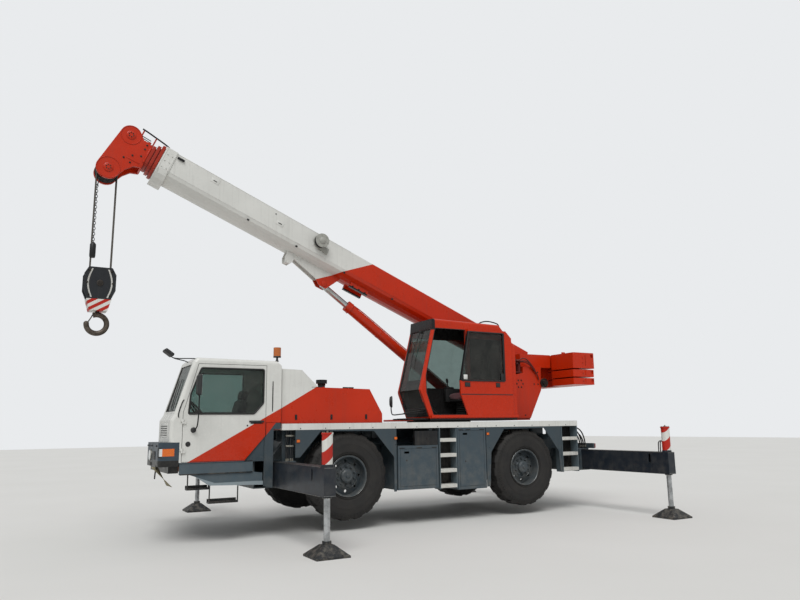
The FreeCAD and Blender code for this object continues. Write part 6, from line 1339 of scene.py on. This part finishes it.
for y in (-0.070, 0.0, 0.070):
    rope_runs.append([on_boom(u, y, w) for u, w in [(8.10, 0.888)] + arc((UPPER[0], UPPER[1], 0.134), 92, 4, 7) + [(8.600, 0.45), (8.610, 0.20), (8.608, 0.10)]])
ropes = pipe("head_rope_runs", "boom_tip", wound_rope, rope_runs, 0.008)
guard = pipe("head_guard_rail", "boom_tip", pipe_steel,
             [[on_boom(7.800, 0.150, 0.905), on_boom(7.83, 0.150, 0.921), on_boom(8.02, 0.150, 0.945), on_boom(8.262, 0.150, 0.975), on_boom(8.30, 0.150, 0.972)]], 0.014)
bm = bmesh.new()
for u, low, top in ((8.045, 0.750, 0.945), (8.265, 0.86, 0.985)):
    boom_block(bm, (u - 0.012, 0.146, low), (u + 0.012, 0.154, top), 0.003)
boom_block(bm, (8.040, -0.150, 0.752), (8.075, 0.150, 0.800), 0.004)
for y in (-0.11, 0.0, 0.11):
    boom_block(bm, (8.080, y - 0.02, 0.755), (8.130, y + 0.02, 0.84), 0.006)
brackets = piece("head_guard_brackets", "boom_tip", section_enamel, bm)
for part in (cheeks, sheaves, head_bolts, ropes, guard, brackets):
    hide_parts("boom_head")


# Hook gear: dark painted sheaves, ropes of twisted wire, a cheek block with white curved straps and
# a striped weight, and a forged hook with a spring latch.
HEAD = Vector((6.2335, 0, 5.7360))
BLOCK_TOP_Z = 4.108
finish_nodes(dark_sheave, "head_sheaves")


def laid_rope(name, bright, dark, lay_m):
    """Wire rope that hangs along Z: six strands wound round it, drawn as slanting dark grooves."""
    made, tree, out = bare_material(name)
    place = put(tree, "TexCoord").outputs["Object"]
    turned = put(tree, "Mapping", {"Vector": place, "Rotation": (0, 0.55, 0), "Scale": (1, 1, 1)}).outputs["Vector"]
    wave = put(tree, "TexWave", {"Vector": turned, "Scale": 1 / lay_m / 3.14, "Distortion": 0.2, "Detail": 0.0}, bands_direction="Z")
    groove = wave.outputs["Fac"]
    tone = put(tree, "Mix", {"Factor": groove, "A": linear(dark), "B": linear(bright)}, data_type="RGBA").outputs["Result"]
    skin = put(tree, "Bump", {"Height": groove, "Strength": 0.7, "Distance": 0.002}).outputs["Normal"]
    finish = put(tree, "BsdfPrincipled", {"Base Color": tone, "Roughness": 0.5, "Metallic": 0.4, "Normal": skin})
    tree.links.new(finish.outputs["BSDF"], out.inputs["Surface"])
    return made


falls_rope = laid_rope("laid_steel_rope", "#6A655C", "#2C2926", 0.012)
bm = bmesh.new()
for y in (-0.070, 0.0, 0.070):
    for x in (-0.1503, 0.1503):
        lathe(bm, [(0, 0.008), (HEAD.z - BLOCK_TOP_Z + 0.25, 0.008)], (HEAD.x + x, y, HEAD.z), (0, 0, -1), 12)
falls = piece("rope_falls", "falls", falls_rope, bm)
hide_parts("hook_falls")
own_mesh(falls)
slant = (0.62, 0, 1)
stripe_areas = [(BAND_WHITE, [((0, 0, 1), 3.607)])]
for k in range(-3, 5):
    start = 3.50 + 0.62 * 6.2335 + 0.115 * k
    stripe_areas.append((BAND_RED, [((0, 0, 1), 3.607), (slant, start + 0.0575), ((-0.62, 0, -1), -start)]))
finish_nodes(enamel("hook_block_enamel", "#23262A", areas=stripe_areas, gloss=0.4, dust=0.4, chips=0.6, low_dirt=0.0), "hook_block")
finish_nodes(bare_metal("forged_hook_steel", "#6B6259", "#403830", 0.5, scale=14.0, metallic=0.6), "hook")
bm = bmesh.new()
for hand in (1, -1):
    for bow in (-1, 1):
        line = []
        for k in range(13):
            t = k / 12
            z = BLOCK_TOP_Z - 0.03 - 0.45 * t
            x = HEAD.x + bow * (0.115 + 0.055 * math.sin(math.pi * t))
            line.append((x, z))
        for (xa, za), (xb, zb) in zip(line, line[1:]):
            corners = []
            for y in (0.1285, 0.1335):
                corners += [bm.verts.new((xa - 0.012, hand * y, za)), bm.verts.new((xa + 0.012, hand * y, za)),
                            bm.verts.new((xb + 0.012, hand * y, zb)), bm.verts.new((xb - 0.012, hand * y, zb))]
            for quad in ((0, 1, 2, 3), (4, 5, 6, 7), (0, 1, 5, 4), (2, 3, 7, 6), (1, 2, 6, 5), (0, 3, 7, 4)):
                bm.faces.new([corners[q] for q in quad])
piece("block_straps", "block", grip_metal, bm)
bm = bmesh.new()
for hand in (1, -1):
    lathe(bm, [(0, 0.050), (0.010, 0.050), (0.014, 0.040), (0.016, 0.022), (0.030, 0.020)], (HEAD.x, hand * 0.128, BLOCK_TOP_Z - 0.25), (0, hand, 0), 28)
    for x, z in ((-0.15, -0.06), (0.15, -0.06), (-0.18, -0.25), (0.18, -0.25), (-0.15, -0.44), (0.15, -0.44)):
        bolt(bm, (HEAD.x + x, hand * 0.1295, BLOCK_TOP_Z + z), (0, hand, 0), 0.026)
for x in (-0.17, 0.17):
    lathe(bm, [(-0.13, 0.011), (0.13, 0.011)], (HEAD.x + x, 0, BLOCK_TOP_Z - 0.06), (0, 1, 0), 12)
piece("block_bolts", "block", dark_steel, bm)
bm = bmesh.new()
lathe(bm, [(0, 0.042), (0.022, 0.042), (0.026, 0.036), (0.040, 0.032)], (HEAD.x, 0, 3.388), (0, 0, 1), 6)
lathe(bm, [(-0.022, 0.009), (0.022, 0.009)], (HEAD.x + 0.068, 0, 3.365), (0, 1, 0), 12)
piece("hook_nut_and_latch_pin", "hook", dark_steel, bm)

# Hoist limit weight: a black cast weight on a short chain beside the falls
CHAIN_X = 6.37
CHAIN_Y = 0.115
bm = bmesh.new()
links = 22
for k in range(links):
    z = 5.42 - (5.42 - 4.50) * k / (links - 1)
    turn = Matrix.Rotation(math.pi / 2 * (k % 2), 3, "Z")
    ring = []
    for i in range(10):
        a = 2 * math.pi * i / 10
        centre = Vector((0.015 * math.cos(a), 0, 0.026 * math.sin(a)))
        outward = Vector((math.cos(a), 0, math.sin(a)))
        ring.append([bm.verts.new(turn @ (centre + outward * 0.005 * math.cos(b) + Vector((0, 1, 0)) * 0.005 * math.sin(b)) +
                                  Vector((CHAIN_X, CHAIN_Y, z))) for b in (0, 1.57, 3.14, 4.71)])
    for i in range(10):
        for j in range(4):
            bm.faces.new((ring[i - 1][j - 1], ring[i - 1][j], ring[i][j], ring[i][j - 1]))
lathe(bm, [(0, 0.015), (0.03, 0.040), (0.04, 0.045), (0.22, 0.045), (0.25, 0.038)], (CHAIN_X, CHAIN_Y, 4.50), (0, 0, -1), 24)
lathe(bm, [(0, 0.008), (0.16, 0.008)], (CHAIN_X, CHAIN_Y, 5.42), (-0.2, -0.3, 1), 10)
limit = piece("hoist_limit_weight", "falls", black_enamel, bm)
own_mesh(limit)
